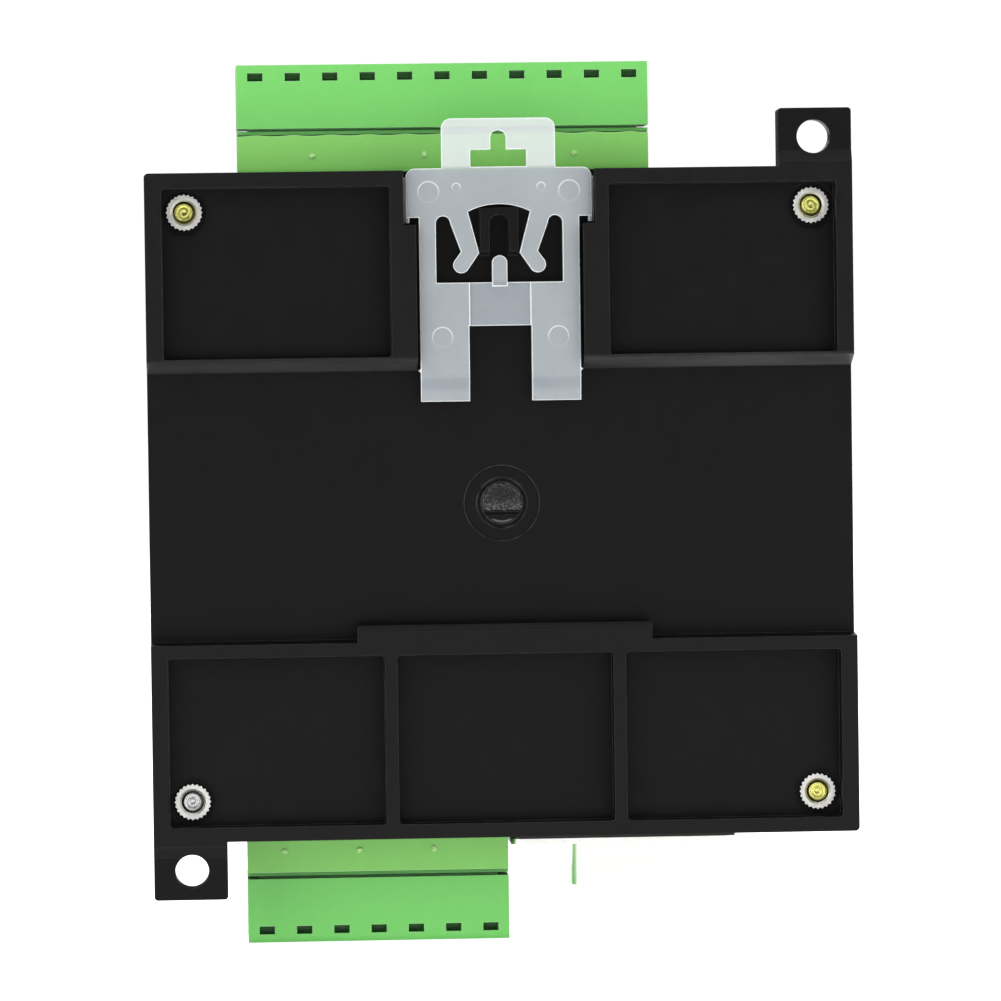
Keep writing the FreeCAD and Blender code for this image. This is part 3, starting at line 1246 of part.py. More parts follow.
def make_power_transistors():
    body = new_body("power_transistors")
    middle = f"{LEAD_START} + lead_pitch"
    seat = "sink_seat"
    width = about(middle, "package_width / 2")
    pieces = [
        ("mould", width, ("-package_body", "-package_low"),
         (f"{seat} - package_thickness", f"{seat} - package_tab / 2")),
        ("tab", width, ("-package_high", "-package_low"), (f"{seat} - package_tab", seat)),
    ]
    for step in range(3):
        pieces.append((f"lead_{step}", about(f"{LEAD_START} + {step} * lead_pitch", "lead_side / 2"),
                       ("-package_low - 0.1", TAIL_END), about(LEAD_Z, "lead_side / 2")))
    for piece in pieces:
        row(body, block(body, *piece), "package_pitch", "package_count")
    row(body, rod(body, "tab_hole", "z", (middle, "-package_high + 2.8"), "1.8",
                  (f"{seat} - package_tab - 1", f"{seat} + 1"), cut=True),
        "package_pitch", "package_count")
    return body


def make_board_parts():
    """Parts soldered flat on the two boards."""
    inductor = new_body("power_inductor")
    centre = ("inductor_place", "inductor_row")
    block(inductor, "base", about(centre[0], "inductor_half"), (f"{BOARD_FACE} - 1.2", BOARD_FACE),
          about(centre[1], "inductor_half"))
    rod(inductor, "core", "y", centre, "inductor_half - 0.4",
        (f"{BOARD_FACE} - inductor_height", f"{BOARD_FACE} - 1.1"))

    resistors = new_body("sense_resistors")
    row(resistors, block(resistors, "chip", about("8", "resistor_wide / 2"),
                         (f"{BOARD_FACE} - resistor_height", BOARD_FACE),
                         about("-20", "resistor_tall / 2")), "resistor_wide * 1.5", "2")

    couplers = new_body("opto_couplers")
    row(couplers, block(couplers, "mould", about("coupler_start", "coupler_wide / 2"),
                        (f"{BOARD_FACE} - coupler_height", f"{BOARD_FACE} - 0.2"),
                        about("coupler_row", "coupler_tall / 2")), "coupler_pitch", "4")
    for name, way in (("left_lead", "-"), ("right_lead", "+")):
        row(couplers, block(couplers, name, about(f"coupler_start {way} lead_pitch / 2", "0.4"),
                            (f"{BOARD_FACE} - 1.2", BOARD_FACE),
                            about("coupler_row", "coupler_tall / 2 + 1")), "coupler_pitch", "4")

    chip_body = new_body("controller_chip")
    spot = ("4", "-4")
    block(chip_body, "mould", about(spot[0], "chip_half"),
          (f"{CONTROL_FACE} - chip_height", f"{CONTROL_FACE} - 0.1"), about(spot[1], "chip_half"))
    edge = "chip_lead_pitch * (chip_leads - 1) / 2"
    lead_y = (f"{CONTROL_FACE} - 0.5", CONTROL_FACE)
    row(chip_body, block(chip_body, "column_lead", about(f"{spot[0]} - {edge}", "chip_lead / 2"),
                         lead_y, about(spot[1], "chip_half + 1")), "chip_lead_pitch", "chip_leads")
    row(chip_body, block(chip_body, "level_lead", about(spot[0], "chip_half + 1"), lead_y,
                         about(f"{spot[1]} - {edge}", "chip_lead / 2")),
        "chip_lead_pitch", "chip_leads", "Z_Axis")
    return inductor, resistors, couplers, chip_body


def make_lamps():
    lamps = new_body("status_lamps")
    at = ("lamp_start", "lamp_row")
    row(lamps, block(lamps, "lamp", about(at[0], "0.8"),
                     (f"{CONTROL_FACE} - lamp_height", CONTROL_FACE), about(at[1], "0.45")),
        "lamp_pitch", "lamp_count")
    pipes = new_body("light_pipes")
    deck_back = "-deck_depth + cover_wall"
    row(pipes, rod(pipes, "pipe", "y", at, "pipe_radius",
                   ("-deck_depth - pipe_proud", f"{CONTROL_FACE} - lamp_height - lamp_gap")),
        "lamp_pitch", "lamp_count")
    row(pipes, rod(pipes, "collar", "y", at, "pipe_collar", (deck_back, f"{deck_back} + 0.8")),
        "lamp_pitch", "lamp_count")
    return lamps, pipes


def make_setting_switch():
    body = new_body("switch_body")
    block(body, "case", about("switch_middle", SWITCH_HALF), ("-switch_top", CONTROL_FACE),
          about("switch_row", "switch_tall / 2"))
    first = "switch_middle - switch_pitch * (switch_ways - 1) / 2"
    row(body, block(body, "slot", about(first, "slider_half + slider_play"),
                    ("-switch_top - 1", "-switch_top + slider_seat"),
                    about("switch_row", "slider_travel / 2 + slider_half + slider_play"), cut=True),
        "switch_pitch", "switch_ways")
    nodes = [body]
    for order in range(1, int(number("switch_ways")) + 1):
        slider = new_body(f"switch_slider_{order}")
        middle = f"{first} + {order - 1} * switch_pitch"
        low = "switch_row - slider_travel / 2"
        block(slider, "knob", about(middle, "slider_half"),
              ("-switch_top - slider_proud", "-switch_top + slider_seat - slider_play"),
              about(low, "slider_half"))
        nodes.append(slider)
    return nodes


# ---------------------------------------------------------------- everything

def make_all():
    nodes = [make_rear_shell(), make_corner_inserts(), make_cover_screws(), make_front_cover(),
             make_front_label(), make_din_clip(), make_main_board(), make_control_board(),
             make_board_spacers(), make_spacer_screws()]
    nodes.extend(make_board_link())
    for name, (side, poles) in TERMINALS.items():
        nodes.extend(make_terminal(name, side, poles))
    nodes.extend(make_serial_socket())
    nodes.extend((make_bulk_capacitors(), make_heat_sink(), make_power_transistors()))
    nodes.extend(make_board_parts())
    nodes.extend(make_lamps())
    nodes.extend(make_setting_switch())
    return nodes


def check(nodes):
    """Stop if any feature failed or any piece has no sound solid."""
    for item in doc.Objects:
        if {"Invalid", "Error"} & set(item.State):
            raise RuntimeError(f"{item.Name} failed: {item.State}")
    for node in nodes:
        if node.Shape.isNull() or not node.Shape.isValid() or not node.Shape.Solids:
            raise RuntimeError(f"{node.Label} has no sound solid")


def main():
    nodes = make_all()
    doc.recompute()
    check(nodes)
    os.makedirs("parts", exist_ok=True)
    for node in nodes:
        node.Shape.exportStep(f"parts/{node.Label}.step")
        print(f"{node.Label}: {len(node.Shape.Solids)} solids, {node.Shape.Volume:.1f} mm3")
    print(f"{len(nodes)} nodes")


main()
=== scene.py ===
"""Rail-mount stepper driver module: finishes, small worked pieces and a plain studio stage.

+Z is up as mounted, +X runs along the rail, the front faces -Y and the rail side faces +Y.
Lengths are metres. Sizes given in millimetres are turned into metres by MM.
"""
import math

import bmesh
import bpy
import numpy as np
from mathutils import Matrix, Vector


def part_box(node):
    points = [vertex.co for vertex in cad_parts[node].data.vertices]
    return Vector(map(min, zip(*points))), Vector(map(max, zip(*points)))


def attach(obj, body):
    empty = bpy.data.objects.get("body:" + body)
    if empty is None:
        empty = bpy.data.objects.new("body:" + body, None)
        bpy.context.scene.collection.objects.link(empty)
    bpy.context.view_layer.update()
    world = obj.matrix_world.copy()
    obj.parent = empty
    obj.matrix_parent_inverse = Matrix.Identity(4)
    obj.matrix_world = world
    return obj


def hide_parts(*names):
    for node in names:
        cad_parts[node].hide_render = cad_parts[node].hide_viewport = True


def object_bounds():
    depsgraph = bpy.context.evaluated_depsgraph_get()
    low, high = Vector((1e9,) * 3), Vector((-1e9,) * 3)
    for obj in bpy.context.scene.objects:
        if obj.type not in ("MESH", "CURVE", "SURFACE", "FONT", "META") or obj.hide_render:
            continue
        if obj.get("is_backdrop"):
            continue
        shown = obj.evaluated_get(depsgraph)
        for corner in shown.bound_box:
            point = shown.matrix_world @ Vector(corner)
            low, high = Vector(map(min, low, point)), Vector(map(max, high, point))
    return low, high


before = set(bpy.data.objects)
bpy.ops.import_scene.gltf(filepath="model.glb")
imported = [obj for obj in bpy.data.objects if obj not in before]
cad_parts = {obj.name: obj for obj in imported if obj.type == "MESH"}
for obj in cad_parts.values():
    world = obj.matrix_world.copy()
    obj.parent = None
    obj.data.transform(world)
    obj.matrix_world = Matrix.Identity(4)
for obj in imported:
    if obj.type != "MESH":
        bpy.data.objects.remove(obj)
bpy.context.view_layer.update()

bl_info = {
    "name": "Stepper driver module",
    "version": (1, 0, 0),
    "blender": (4, 5, 0),
    "location": "View3D > Sidebar > Driver",
    "description": "Finishes and small pieces of a rail-mount stepper driver module",
    "category": "Object",
}

MM = 0.001
POLE_PITCH = 5.08 * MM
FIRST_POLE_EDGE = 34.9 * MM      # +X side of the first pole of both terminals
POLES = {"top": 11, "bottom": 7}
BACK_PLANE = 4.0 * MM            # the flat back of the case, along Y
SHADOW = (0.0004, 0.0004, 0.0004)


# ---------------------------------------------------------------- meshes

def wave_noise(points, seed, octaves=4, start=1.0):
    """Smooth repeatable roughness: a sum of sines in turned directions.

    Each octave adds sin(k1.p + a) * sin(k2.p + b), with twice the frequency and
    half the height of the one before. The result lies near -1 to 1.
    """
    rng = np.random.default_rng(seed)
    total = np.zeros(points.shape[:-1])
    height, frequency = 1.0, start
    for _ in range(octaves):
        directions = rng.normal(size=(2, points.shape[-1])) * frequency
        phases = rng.uniform(0, 2 * math.pi, 2)
        total += height * np.sin(points @ directions[0] + phases[0]) * np.sin(
            points @ directions[1] + phases[1])
        height *= 0.5
        frequency *= 2.0
    return total


def mesh_of_grids(name, grids, smooth_angle):
    """One mesh from several (rows, columns, 3) grids that close round their columns.

    Point (i, j) joins (i, j+1), (i+1, j+1) and (i+1, j) in a quad, with j taken round.
    Rows that shrink to a point are merged, and the faces are turned outwards.
    """
    points, faces, offset = [], [], 0
    for grid in grids:
        rows, columns = grid.shape[:2]
        index = np.arange(rows * columns).reshape(rows, columns) + offset
        after = np.roll(index, -1, axis=1)
        quads = np.stack((index[:-1], after[:-1], after[1:], index[1:]), axis=-1)
        points.append(grid.reshape(-1, 3))
        faces.append(quads.reshape(-1, 4))
        offset += rows * columns
    mesh = bpy.data.meshes.new(name)
    mesh.from_pydata(np.concatenate(points).tolist(), [], np.concatenate(faces).tolist())
    work = bmesh.new()
    work.from_mesh(mesh)
    bmesh.ops.remove_doubles(work, verts=work.verts, dist=0.0005 * MM)
    bmesh.ops.dissolve_degenerate(work, edges=work.edges, dist=0.0005 * MM)
    bmesh.ops.recalc_face_normals(work, faces=work.faces)
    work.to_mesh(mesh)
    work.free()
    mesh.shade_smooth()
    mesh.set_sharp_from_angle(angle=math.radians(smooth_angle))
    return mesh


def add_piece(name, mesh, material, body, replaces=()):
    """Put a mesh in the scene as a piece that rides on a body."""
    piece = bpy.data.objects.new(name, mesh)
    bpy.context.scene.collection.objects.link(piece)
    mesh.materials.append(material)
    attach(piece, body)
    if replaces:
        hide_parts(*replaces)
    return piece


def turned(y, radius, centre, columns):
    """A form turned about a line along Y.

    Row i and angle a give the point centre + radius[i, a] * (cos a, sin a) at height y[i, a].
    """
    angle = np.linspace(0, 2 * math.pi, columns, endpoint=False)[None, :]
    radius = np.broadcast_to(radius, (len(radius), columns))
    y = np.broadcast_to(y, (len(y), columns))
    return np.stack((centre[0] + radius * np.cos(angle), y, centre[1] + radius * np.sin(angle)),
                    axis=-1)


# ---------------------------------------------------------------- materials

class Finish:
    """A node material, built up from a Principled shader."""

    def __init__(self, name, **constants):
        self.material = bpy.data.materials.new(name)
        self.material.use_nodes = True
        self.tree = self.material.node_tree
        self.tree.nodes.clear()
        output = self.tree.nodes.new("ShaderNodeOutputMaterial")
        self.shader = self.tree.nodes.new("ShaderNodeBsdfPrincipled")
        self.tree.links.new(self.shader.outputs["BSDF"], output.inputs["Surface"])
        self.place = self.tree.nodes.new("ShaderNodeTexCoord").outputs["Object"]
        split = self.tree.nodes.new("ShaderNodeSeparateXYZ")
        self.tree.links.new(self.place, split.inputs[0])
        self.x, self.y, self.z = split.outputs
        for socket, value in constants.items():
            self.shader.inputs[socket.replace("_", " ")].default_value = value

    def feed(self, socket, value):
        """Link an output, or set a plain value."""
        if isinstance(value, bpy.types.NodeSocket):
            self.tree.links.new(value, socket)
        elif isinstance(value, (tuple, list)) and len(value) == 3 and len(socket.default_value) == 4:
            socket.default_value = (*value, 1.0)
        else:
            socket.default_value = value

    def put(self, name, value):
        """Link or set a socket of the shader."""
        self.feed(self.shader.inputs[name], value)

    def math(self, operation, *values, clamp=False):
        """One step of arithmetic."""
        node = self.tree.nodes.new("ShaderNodeMath")
        node.operation = operation
        node.use_clamp = clamp
        for socket, value in zip(node.inputs, values):
            self.feed(socket, value)
        return node.outputs[0]

    def plus(self, first, second, clamp=False):
        return self.math("ADD", first, second, clamp=clamp)

    def minus(self, first, second, clamp=False):
        return self.math("SUBTRACT", first, second, clamp=clamp)

    def times(self, *values):
        """All the values multiplied together."""
        total = values[0]
        for value in values[1:]:
            total = self.math("MULTIPLY", total, value)
        return total

    def size(self, value):
        """The value without its sign."""
        return self.math("ABSOLUTE", value)

    def length(self, across, up):
        """The long side of a right triangle with these two short sides."""
        return self.math("SQRT", self.plus(self.math("POWER", self.size(across), 2.0),
                                           self.math("POWER", self.size(up), 2.0)))

    def share(self, value, step):
        """How far the value is through its present step, from 0 to 1."""
        return self.math("FRACT", self.math("DIVIDE", value, step))

    def noise(self, size, detail=3.0, roughness=0.55, stretch=(1, 1, 1)):
        """Noise whose grain is about size, in metres; stretch lengthens it along an axis."""
        mapping = self.tree.nodes.new("ShaderNodeMapping")
        self.feed(mapping.inputs["Vector"], self.place)
        mapping.inputs["Scale"].default_value = [1.0 / way for way in stretch]
        node = self.tree.nodes.new("ShaderNodeTexNoise")
        self.feed(node.inputs["Vector"], mapping.outputs[0])
        node.inputs["Scale"].default_value = 1.0 / size
        node.inputs["Detail"].default_value = detail
        node.inputs["Roughness"].default_value = roughness
        return node.outputs[0]

    def fit(self, value, low, high, to_low=0.0, to_high=1.0):
        """Move a value from one range to another, held inside it."""
        node = self.tree.nodes.new("ShaderNodeMapRange")
        for socket, number in zip(node.inputs, (value, low, high, to_low, to_high)):
            self.feed(socket, number)
        return node.outputs[0]

    def blend(self, factor, first, second, mode="MIX"):
        """Mix two colours; the colour sockets of a Mix node have only places, not unique names."""
        node = self.tree.nodes.new("ShaderNodeMix")
        node.data_type = "RGBA"
        node.blend_type = mode
        node.clamp_factor = True
        self.feed(node.inputs["Factor"], factor)
        colour_a, colour_b, mixed = node.inputs[6], node.inputs[7], node.outputs[2]
        self.feed(colour_a, first)
        self.feed(colour_b, second)
        return mixed

    def grey(self, value):
        """A colour with one value in its three channels."""
        node = self.tree.nodes.new("ShaderNodeCombineColor")
        for socket in node.inputs:
            self.feed(socket, value)
        return node.outputs[0]

    def darken(self, tone, light):
        """A colour times a value."""
        return self.blend(1.0, tone, self.grey(light), mode="MULTIPLY")

    def soft_edges(self, radius):
        """The normal of the surface as if its edges had this radius."""
        node = self.tree.nodes.new("ShaderNodeBevel")
        node.samples = 6
        node.inputs["Radius"].default_value = radius
        return node.outputs[0]

    def edge_mask(self, rounded, gain=6.0):
        """How far the rounded normal leans from the flat one: 0 on faces, towards 1 at edges."""
        flat = self.tree.nodes.new("ShaderNodeNewGeometry")
        dot = self.tree.nodes.new("ShaderNodeVectorMath")
        dot.operation = "DOT_PRODUCT"
        self.feed(dot.inputs[0], rounded)
        self.feed(dot.inputs[1], flat.outputs["True Normal"])
        lean = self.minus(1.0, dot.outputs["Value"])
        return self.math("MULTIPLY", lean, gain, clamp=True)

    def shelter(self, distance):
        """1 in the open, towards 0 in corners and pits."""
        node = self.tree.nodes.new("ShaderNodeAmbientOcclusion")
        node.samples = 6
        node.inputs["Distance"].default_value = distance
        return node.outputs["AO"]

    def bump(self, height, depth, normal=None):
        """A normal tilted by a height field that is depth metres tall."""
        node = self.tree.nodes.new("ShaderNodeBump")
        node.inputs["Strength"].default_value = 1.0
        node.inputs["Distance"].default_value = depth
        self.feed(node.inputs["Height"], height)
        if normal is not None:
            self.feed(node.inputs["Normal"], normal)
        return node.outputs[0]

    def band(self, value, low, high, soft=0.02 * MM):
        """1 where the value lies between two places, with soft sides."""
        rise = self.fit(value, low - soft, low + soft)
        fall = self.fit(value, high - soft, high + soft, 1.0, 0.0)
        return self.times(rise, fall)

    def away(self, x, z):
        """Distance from a line along Y through x and z."""
        return self.length(self.minus(self.x, x), self.minus(self.z, z))

    def patch(self, x_low, x_high, z_low, z_high):
        """1 inside an upright rectangle, seen along Y."""
        return self.times(self.band(self.x, x_low, x_high), self.band(self.z, z_low, z_high))

    def any_of(self, *masks):
        """The strongest of several masks."""
        total = masks[0]
        for mask in masks[1:]:
            total = self.math("MAXIMUM", total, mask)
        return total


def paint(material, *nodes):
    """Give CAD nodes a material in every slot."""
    for name in nodes:
        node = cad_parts[name]
        if not node.material_slots:
            node.data.materials.append(material)
        for slot in node.material_slots:
            slot.material = material


def colour(values):
    """A colour setting as a plain tuple."""
    return tuple(values)[:3]


def shade(base, share):
    """A colour with every channel scaled, held at 1."""
    return tuple(min(1.0, share * part) for part in base)


# ---------------------------------------------------------------- settings

def colour_prop(name, description, default):
    return bpy.props.FloatVectorProperty(
        name=name, description=description, default=default, subtype="COLOR", size=3, min=0, max=1)


def length_prop(name, description, default):
    return bpy.props.FloatProperty(
        name=name, description=description, default=default, subtype="DISTANCE", unit="LENGTH",
        precision=5)


def factor_prop(name, description, default):
    return bpy.props.FloatProperty(
        name=name, description=description, default=default, subtype="FACTOR", min=0, max=1)


class CaseLook(bpy.types.PropertyGroup):
    base: colour_prop("Case", "Black moulded plastic", (0.0034, 0.0035, 0.0033))
    # The edge colour is painted highlight along the case's edges, mixed with real edge wear.
    edge: colour_prop("Case edges", "Plastic rubbed lighter at its edges", (0.050, 0.051, 0.050))
    roughness: factor_prop("Roughness", "Roughness of the moulding", 0.38)
    grain: length_prop("Grain", "Size of the spark grain", 0.00028)
    edge_radius: length_prop("Edge radius", "Softness of the moulded edges", 0.00016)
    label: colour_prop("Label", "Printed front label", (0.42, 0.43, 0.44))
    label_ink: colour_prop("Label print", "Bands and ticks of the label", (0.020, 0.022, 0.026))


class ClipLook(bpy.types.PropertyGroup):
    base: colour_prop("Clip", "Milky nylon", (0.43, 0.465, 0.49))
    edge: colour_prop("Clip edges", "Nylon seen through its edges", (0.95, 0.96, 0.97))
    roughness: factor_prop("Roughness", "Roughness of the nylon", 0.42)
    opacity: factor_prop("Opacity", "How much of the case the nylon hides", 0.54)


class TerminalLook(bpy.types.PropertyGroup):
    plug: colour_prop("Plug", "Green plug mouldings", (0.150, 0.515, 0.112))
    header: colour_prop("Header", "Green header mouldings", (0.215, 0.57, 0.120))
    splash: colour_prop("Gate marks", "Torn gates of the headers", (0.48, 0.74, 0.32))
    roughness: factor_prop("Roughness", "Roughness of the green mouldings", 0.38)
    tin: colour_prop("Tin", "Tinned pins and clamps", (0.70, 0.69, 0.66))
    splash_radius: length_prop("Gate mark", "Radius of a gate mark", 0.00040)


class MetalLook(bpy.types.PropertyGroup):
    insert: colour_prop("Insert", "Nickelled knurled inserts", (0.72, 0.71, 0.68))
    zinc: colour_prop("Zinc", "Yellow passivated cover screws", (0.86, 0.84, 0.26))
    steel: colour_prop("Steel", "Terminal screws", (0.60, 0.60, 0.60))
    nickel: colour_prop("Nickel", "Shell of the serial socket", (0.95, 0.945, 0.92))
    thread_pitch: length_prop("Thread pitch", "Pitch of the cover screws", 0.0005)
    thread_depth: length_prop("Thread depth", "Depth of the cover screws' thread", 0.00012)
    knurl_teeth: bpy.props.IntProperty(
        name="Knurl teeth", description="Teeth round an insert", default=24, min=6)


class StageLook(bpy.types.PropertyGroup):
    camera_place: bpy.props.FloatVectorProperty(
        name="Camera", description="Where the camera stands", size=3, subtype="TRANSLATION",
        unit="LENGTH", default=(0.03995, 0.780, 0.02316), precision=5)
    camera_aim: bpy.props.FloatVectorProperty(
        name="Aim", description="What the camera looks at", size=3, subtype="TRANSLATION",
        unit="LENGTH", default=(0.000384, 0.004, 0.000441), precision=5)
    camera_roll: bpy.props.FloatProperty(
        name="Roll", description="Turn of the camera about its own view", subtype="ANGLE",
        default=math.radians(-0.774))
    lens: bpy.props.FloatProperty(
        name="Lens", description="Focal length in millimetres on a 36 mm sensor", default=208.49)
    world: factor_prop("Room light", "Brightness of the room around the object", 0.08)
    floor: colour_prop("Floor", "Pale floor", (0.88, 0.88, 0.87))


LOOKS = {"case": CaseLook, "clip": ClipLook, "terminals": TerminalLook, "metal": MetalLook,
         "stage": StageLook}


def look(name):
    """The settings of one group."""
    return getattr(bpy.context.scene, f"driver_{name}")


# ---------------------------------------------------------------- finishes

def moulded(finish, case):
    """Moulded plastic: spark grain, faint flow marks, soft edges painted lighter with edge wear and
    painted highlight, and painted shade in its corners.

    Returns the colour, so that a caller may print over it.
    """
    base = colour(case.base)
    rounded = finish.soft_edges(case.edge_radius)
    rim = finish.edge_mask(rounded)
    patches = finish.fit(finish.noise(9 * MM, detail=4), 0.35, 0.65)
    broken = finish.fit(finish.noise(1.4 * MM, detail=3), 0.30, 0.62)
    tone = finish.blend(finish.times(patches, 0.30), base, shade(base, 0.72))
    # Painted shade: ambient occlusion darkens the colour in corners and pits.
    painted_shade = finish.fit(finish.shelter(2.2 * MM), 0.25, 0.95, 0.55, 1.0)
    # Edge wear and painted highlight: the edges are painted towards the lighter edge colour.
    tone = finish.blend(finish.times(rim, finish.times(broken, 0.8)), finish.darken(tone, painted_shade),
                        colour(case.edge))
    height = finish.plus(finish.noise(case.grain, detail=2.5, roughness=0.6),
                         finish.times(finish.noise(6 * MM, detail=2), 0.8))
    finish.put("Normal", finish.bump(height, 0.020 * MM, rounded))
    mottled = finish.fit(finish.noise(3 * MM, detail=4), 0.3, 0.7, -0.05, 0.07)
    finish.put("Roughness", finish.plus(mottled, case.roughness))
    return tone


def metal(name, base, roughness, grain=0.25 * MM, stretch=(1, 1, 1), stain=0.25, dark=0.45,
          odd_one=None):
    """Plated or turned metal: fine streaks, dull patches and painted shade in its hollows.

    odd_one is the colour of the piece in the lower corner on the +X side, where it differs.
    """
    finish = Finish(name, Metallic=1.0)
    patches = finish.fit(finish.noise(1.8 * MM, detail=5), 0.35, 0.70)
    tone = finish.blend(finish.times(patches, stain), base, shade(base, 1.0 - dark))
    if odd_one is not None:
        corner = finish.times(finish.fit(finish.x, 0.0, 1 * MM),
                              finish.fit(finish.z, -1 * MM, 0.0, 1.0, 0.0))
        tone = finish.blend(corner, tone, odd_one)
    # Painted shade: ambient occlusion darkens the colour in hollows.
    painted_shade = finish.fit(finish.shelter(0.8 * MM), 0.15, 0.9, 0.35, 1.0)
    finish.put("Base Color", finish.darken(tone, painted_shade))
    rounded = finish.soft_edges(0.06 * MM)
    finish.put("Normal", finish.bump(finish.noise(grain, detail=3, stretch=stretch), 0.004 * MM,
                                     rounded))
    finish.put("Roughness", finish.fit(finish.noise(0.7 * MM, detail=4), 0.3, 0.7,
                                       roughness - 0.07, roughness + 0.12))
    return finish.material


def black_case():
    """The case's black plastic, duller and darker round its four metal bushes, where a ring of painted
    shade lies.
    """
    finish = Finish("case_black", IOR=1.46, Specular_IOR_Level=0.14)
    tone = moulded(finish, look("case"))
    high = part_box("corner_inserts")[1]
    bush_radius = 2.5 * MM
    reach = finish.length(finish.minus(finish.size(finish.x), high.x - bush_radius),
                          finish.minus(finish.size(finish.z), high.z - bush_radius))
    fringe = finish.fit(finish.noise(0.45 * MM, detail=4), 0.3, 0.7, -0.35 * MM, 0.35 * MM)
    # Painted shade: a dark ring round each bush, where the bush meets the case.
    bush_ring_shade = finish.fit(finish.plus(reach, fringe), 3.1 * MM, 3.7 * MM, 1.0, 0.0)
    tone = finish.blend(finish.times(bush_ring_shade, 0.9), tone, SHADOW)
    # Painted light on the channel's upper wall and on the back plane.
    tone = finish.blend(painted_channel_light(finish), tone, (0.060, 0.060, 0.060))
    # Painted shade: a dark line in the crease at the foot of the lip's bevel.
    tone = finish.blend(lip_crease_shade(finish), tone, SHADOW)
    # Painted highlights on the edges round the moulding gate.
    tone = finish.blend(gate_edge_highlights(finish), tone, (0.085, 0.085, 0.085))
    finish.put("Base Color", tone)
    return finish.material


def painted_channel_light(finish):
    """Painted light: the channel's leaning upper wall painted pale as if lit by a reflection from
    below, brighter towards the -X end, and the back plane painted a little paler.
    """
    wall_foot, wall_top = 17.9 * MM, 19.8 * MM
    wall = finish.times(finish.band(finish.z, wall_foot, wall_top, 0.05 * MM),
                        finish.band(finish.y, 0.15 * MM, BACK_PLANE - 0.05 * MM, 0.10 * MM))
    light_streaks = finish.fit(finish.noise(2.2 * MM, detail=4, stretch=(6, 1, 1)), 0.25, 0.65, 0.45, 1.0)
    ends = finish.fit(finish.x, -40 * MM, 40 * MM, 1.0, 0.55)
    plane = finish.band(finish.y, BACK_PLANE - 0.1 * MM, BACK_PLANE + 0.1 * MM, 0.05 * MM)
    return finish.plus(finish.times(wall, light_streaks, ends), finish.times(plane, 0.045), clamp=True)


def lip_crease_shade(finish):
    """A painted shade line in the crease along the foot of the lip's bevel."""
    foot, half_line, half_lip = -16.68 * MM, 0.06 * MM, 19.5 * MM
    line = finish.band(finish.z, foot - half_line, foot + half_line, 0.03 * MM)
    depth = finish.band(finish.y, 3.3 * MM, BACK_PLANE + 0.1 * MM, 0.05 * MM)
    along = finish.band(finish.x, -half_lip, half_lip, 0.2 * MM)
    return finish.times(line, depth, along, 0.85)


def gate_edge_highlights(finish):
    """Broken bright rings of painted highlight along the edges of the moulding gate's dish, pit and
    torn sprue stub, and a crescent under the chord.
    """
    reach = finish.away(0.0, 0.0)
    broken = finish.fit(finish.noise(2.4 * MM, detail=5, roughness=0.65), 0.44, 0.58)
    fine = finish.fit(finish.noise(0.25 * MM, detail=4, roughness=0.7), 0.40, 0.62)
    chord = finish.band(finish.z, -2.7 * MM, -2.16 * MM, 0.08 * MM)
    rings = []
    for inner, outer, soft, mask, strength in (
            (5.02, 5.14, 0.04, broken, 0.30),       # the dish's edge
            (3.22, 3.48, 0.08, broken, 0.40),       # the pit's edge
            (2.72, 2.88, 0.05, fine, 0.45),         # the sprue stub's edge
            (2.38, 2.60, 0.05, chord, 1.0)):        # the crescent under the chord
        ring = finish.band(reach, inner * MM, outer * MM, soft * MM)
        rings.append(finish.times(ring, mask, strength))
    return finish.times(finish.any_of(*rings), finish.band(finish.y, -0.7 * MM, 0.1 * MM, 0.02 * MM))


def printed_label():
    """A grey front film with plain bands, pole ticks, lamp rings and a frame for the switch."""
    case = look("case")
    finish = Finish("label_grey", IOR=1.45)
    low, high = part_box("front_label")
    inset = 3 * MM
    title = finish.patch(low.x + inset, high.x - inset, high.z - 6.3 * MM, high.z - 3.2 * MM)
    foot = finish.patch(low.x + inset, high.x - inset, low.z + 3.2 * MM, low.z + 4.2 * MM)
    marks = [title, foot, *pole_ticks(finish, low, high), *lamp_rings(finish), switch_frame(finish)]
    for order in range(5):
        height = 6.0 * MM - order * 3.2 * MM
        end = 33.0 * MM - (order % 2) * 5 * MM
        marks.append(finish.patch(6.0 * MM, end, height - 0.16 * MM, height + 0.16 * MM))
    ink = finish.any_of(*marks)
    fibre = finish.fit(finish.noise(0.35 * MM, detail=3), 0.35, 0.65, 0.0, 1.0)
    label = colour(case.label)
    film = finish.blend(finish.times(fibre, 0.12), label, shade(label, 0.8))
    worn = finish.fit(finish.noise(0.30 * MM, detail=3), 0.30, 0.42, 0.75, 1.0)
    finish.put("Base Color", finish.blend(finish.times(ink, worn), film, colour(case.label_ink)))
    height = finish.plus(finish.noise(0.18 * MM, detail=2), finish.times(ink, 0.5))
    finish.put("Normal", finish.bump(height, 0.008 * MM, finish.soft_edges(0.08 * MM)))
    finish.put("Roughness", finish.fit(finish.noise(4 * MM, detail=3), 0.3, 0.7, 0.34, 0.48))
    return finish.material


def pole_ticks(finish, low, high):
    """A short tick in front of each pole, along the label's upper and lower edges."""
    ticks = []
    for row, poles in POLES.items():
        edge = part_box(f"{row}_screw_1")[1].x + 0.64 * MM
        through = finish.share(finish.minus(edge, finish.x), POLE_PITCH)
        tick = finish.band(through, 0.44, 0.56, soft=0.01)
        foot = high.z - 2.6 * MM if row == "top" else low.z + 1.0 * MM
        strip = finish.patch(max(edge - poles * POLE_PITCH, low.x), min(edge, high.x), foot,
                             foot + 1.6 * MM)
        ticks.append(finish.times(tick, strip))
    return ticks


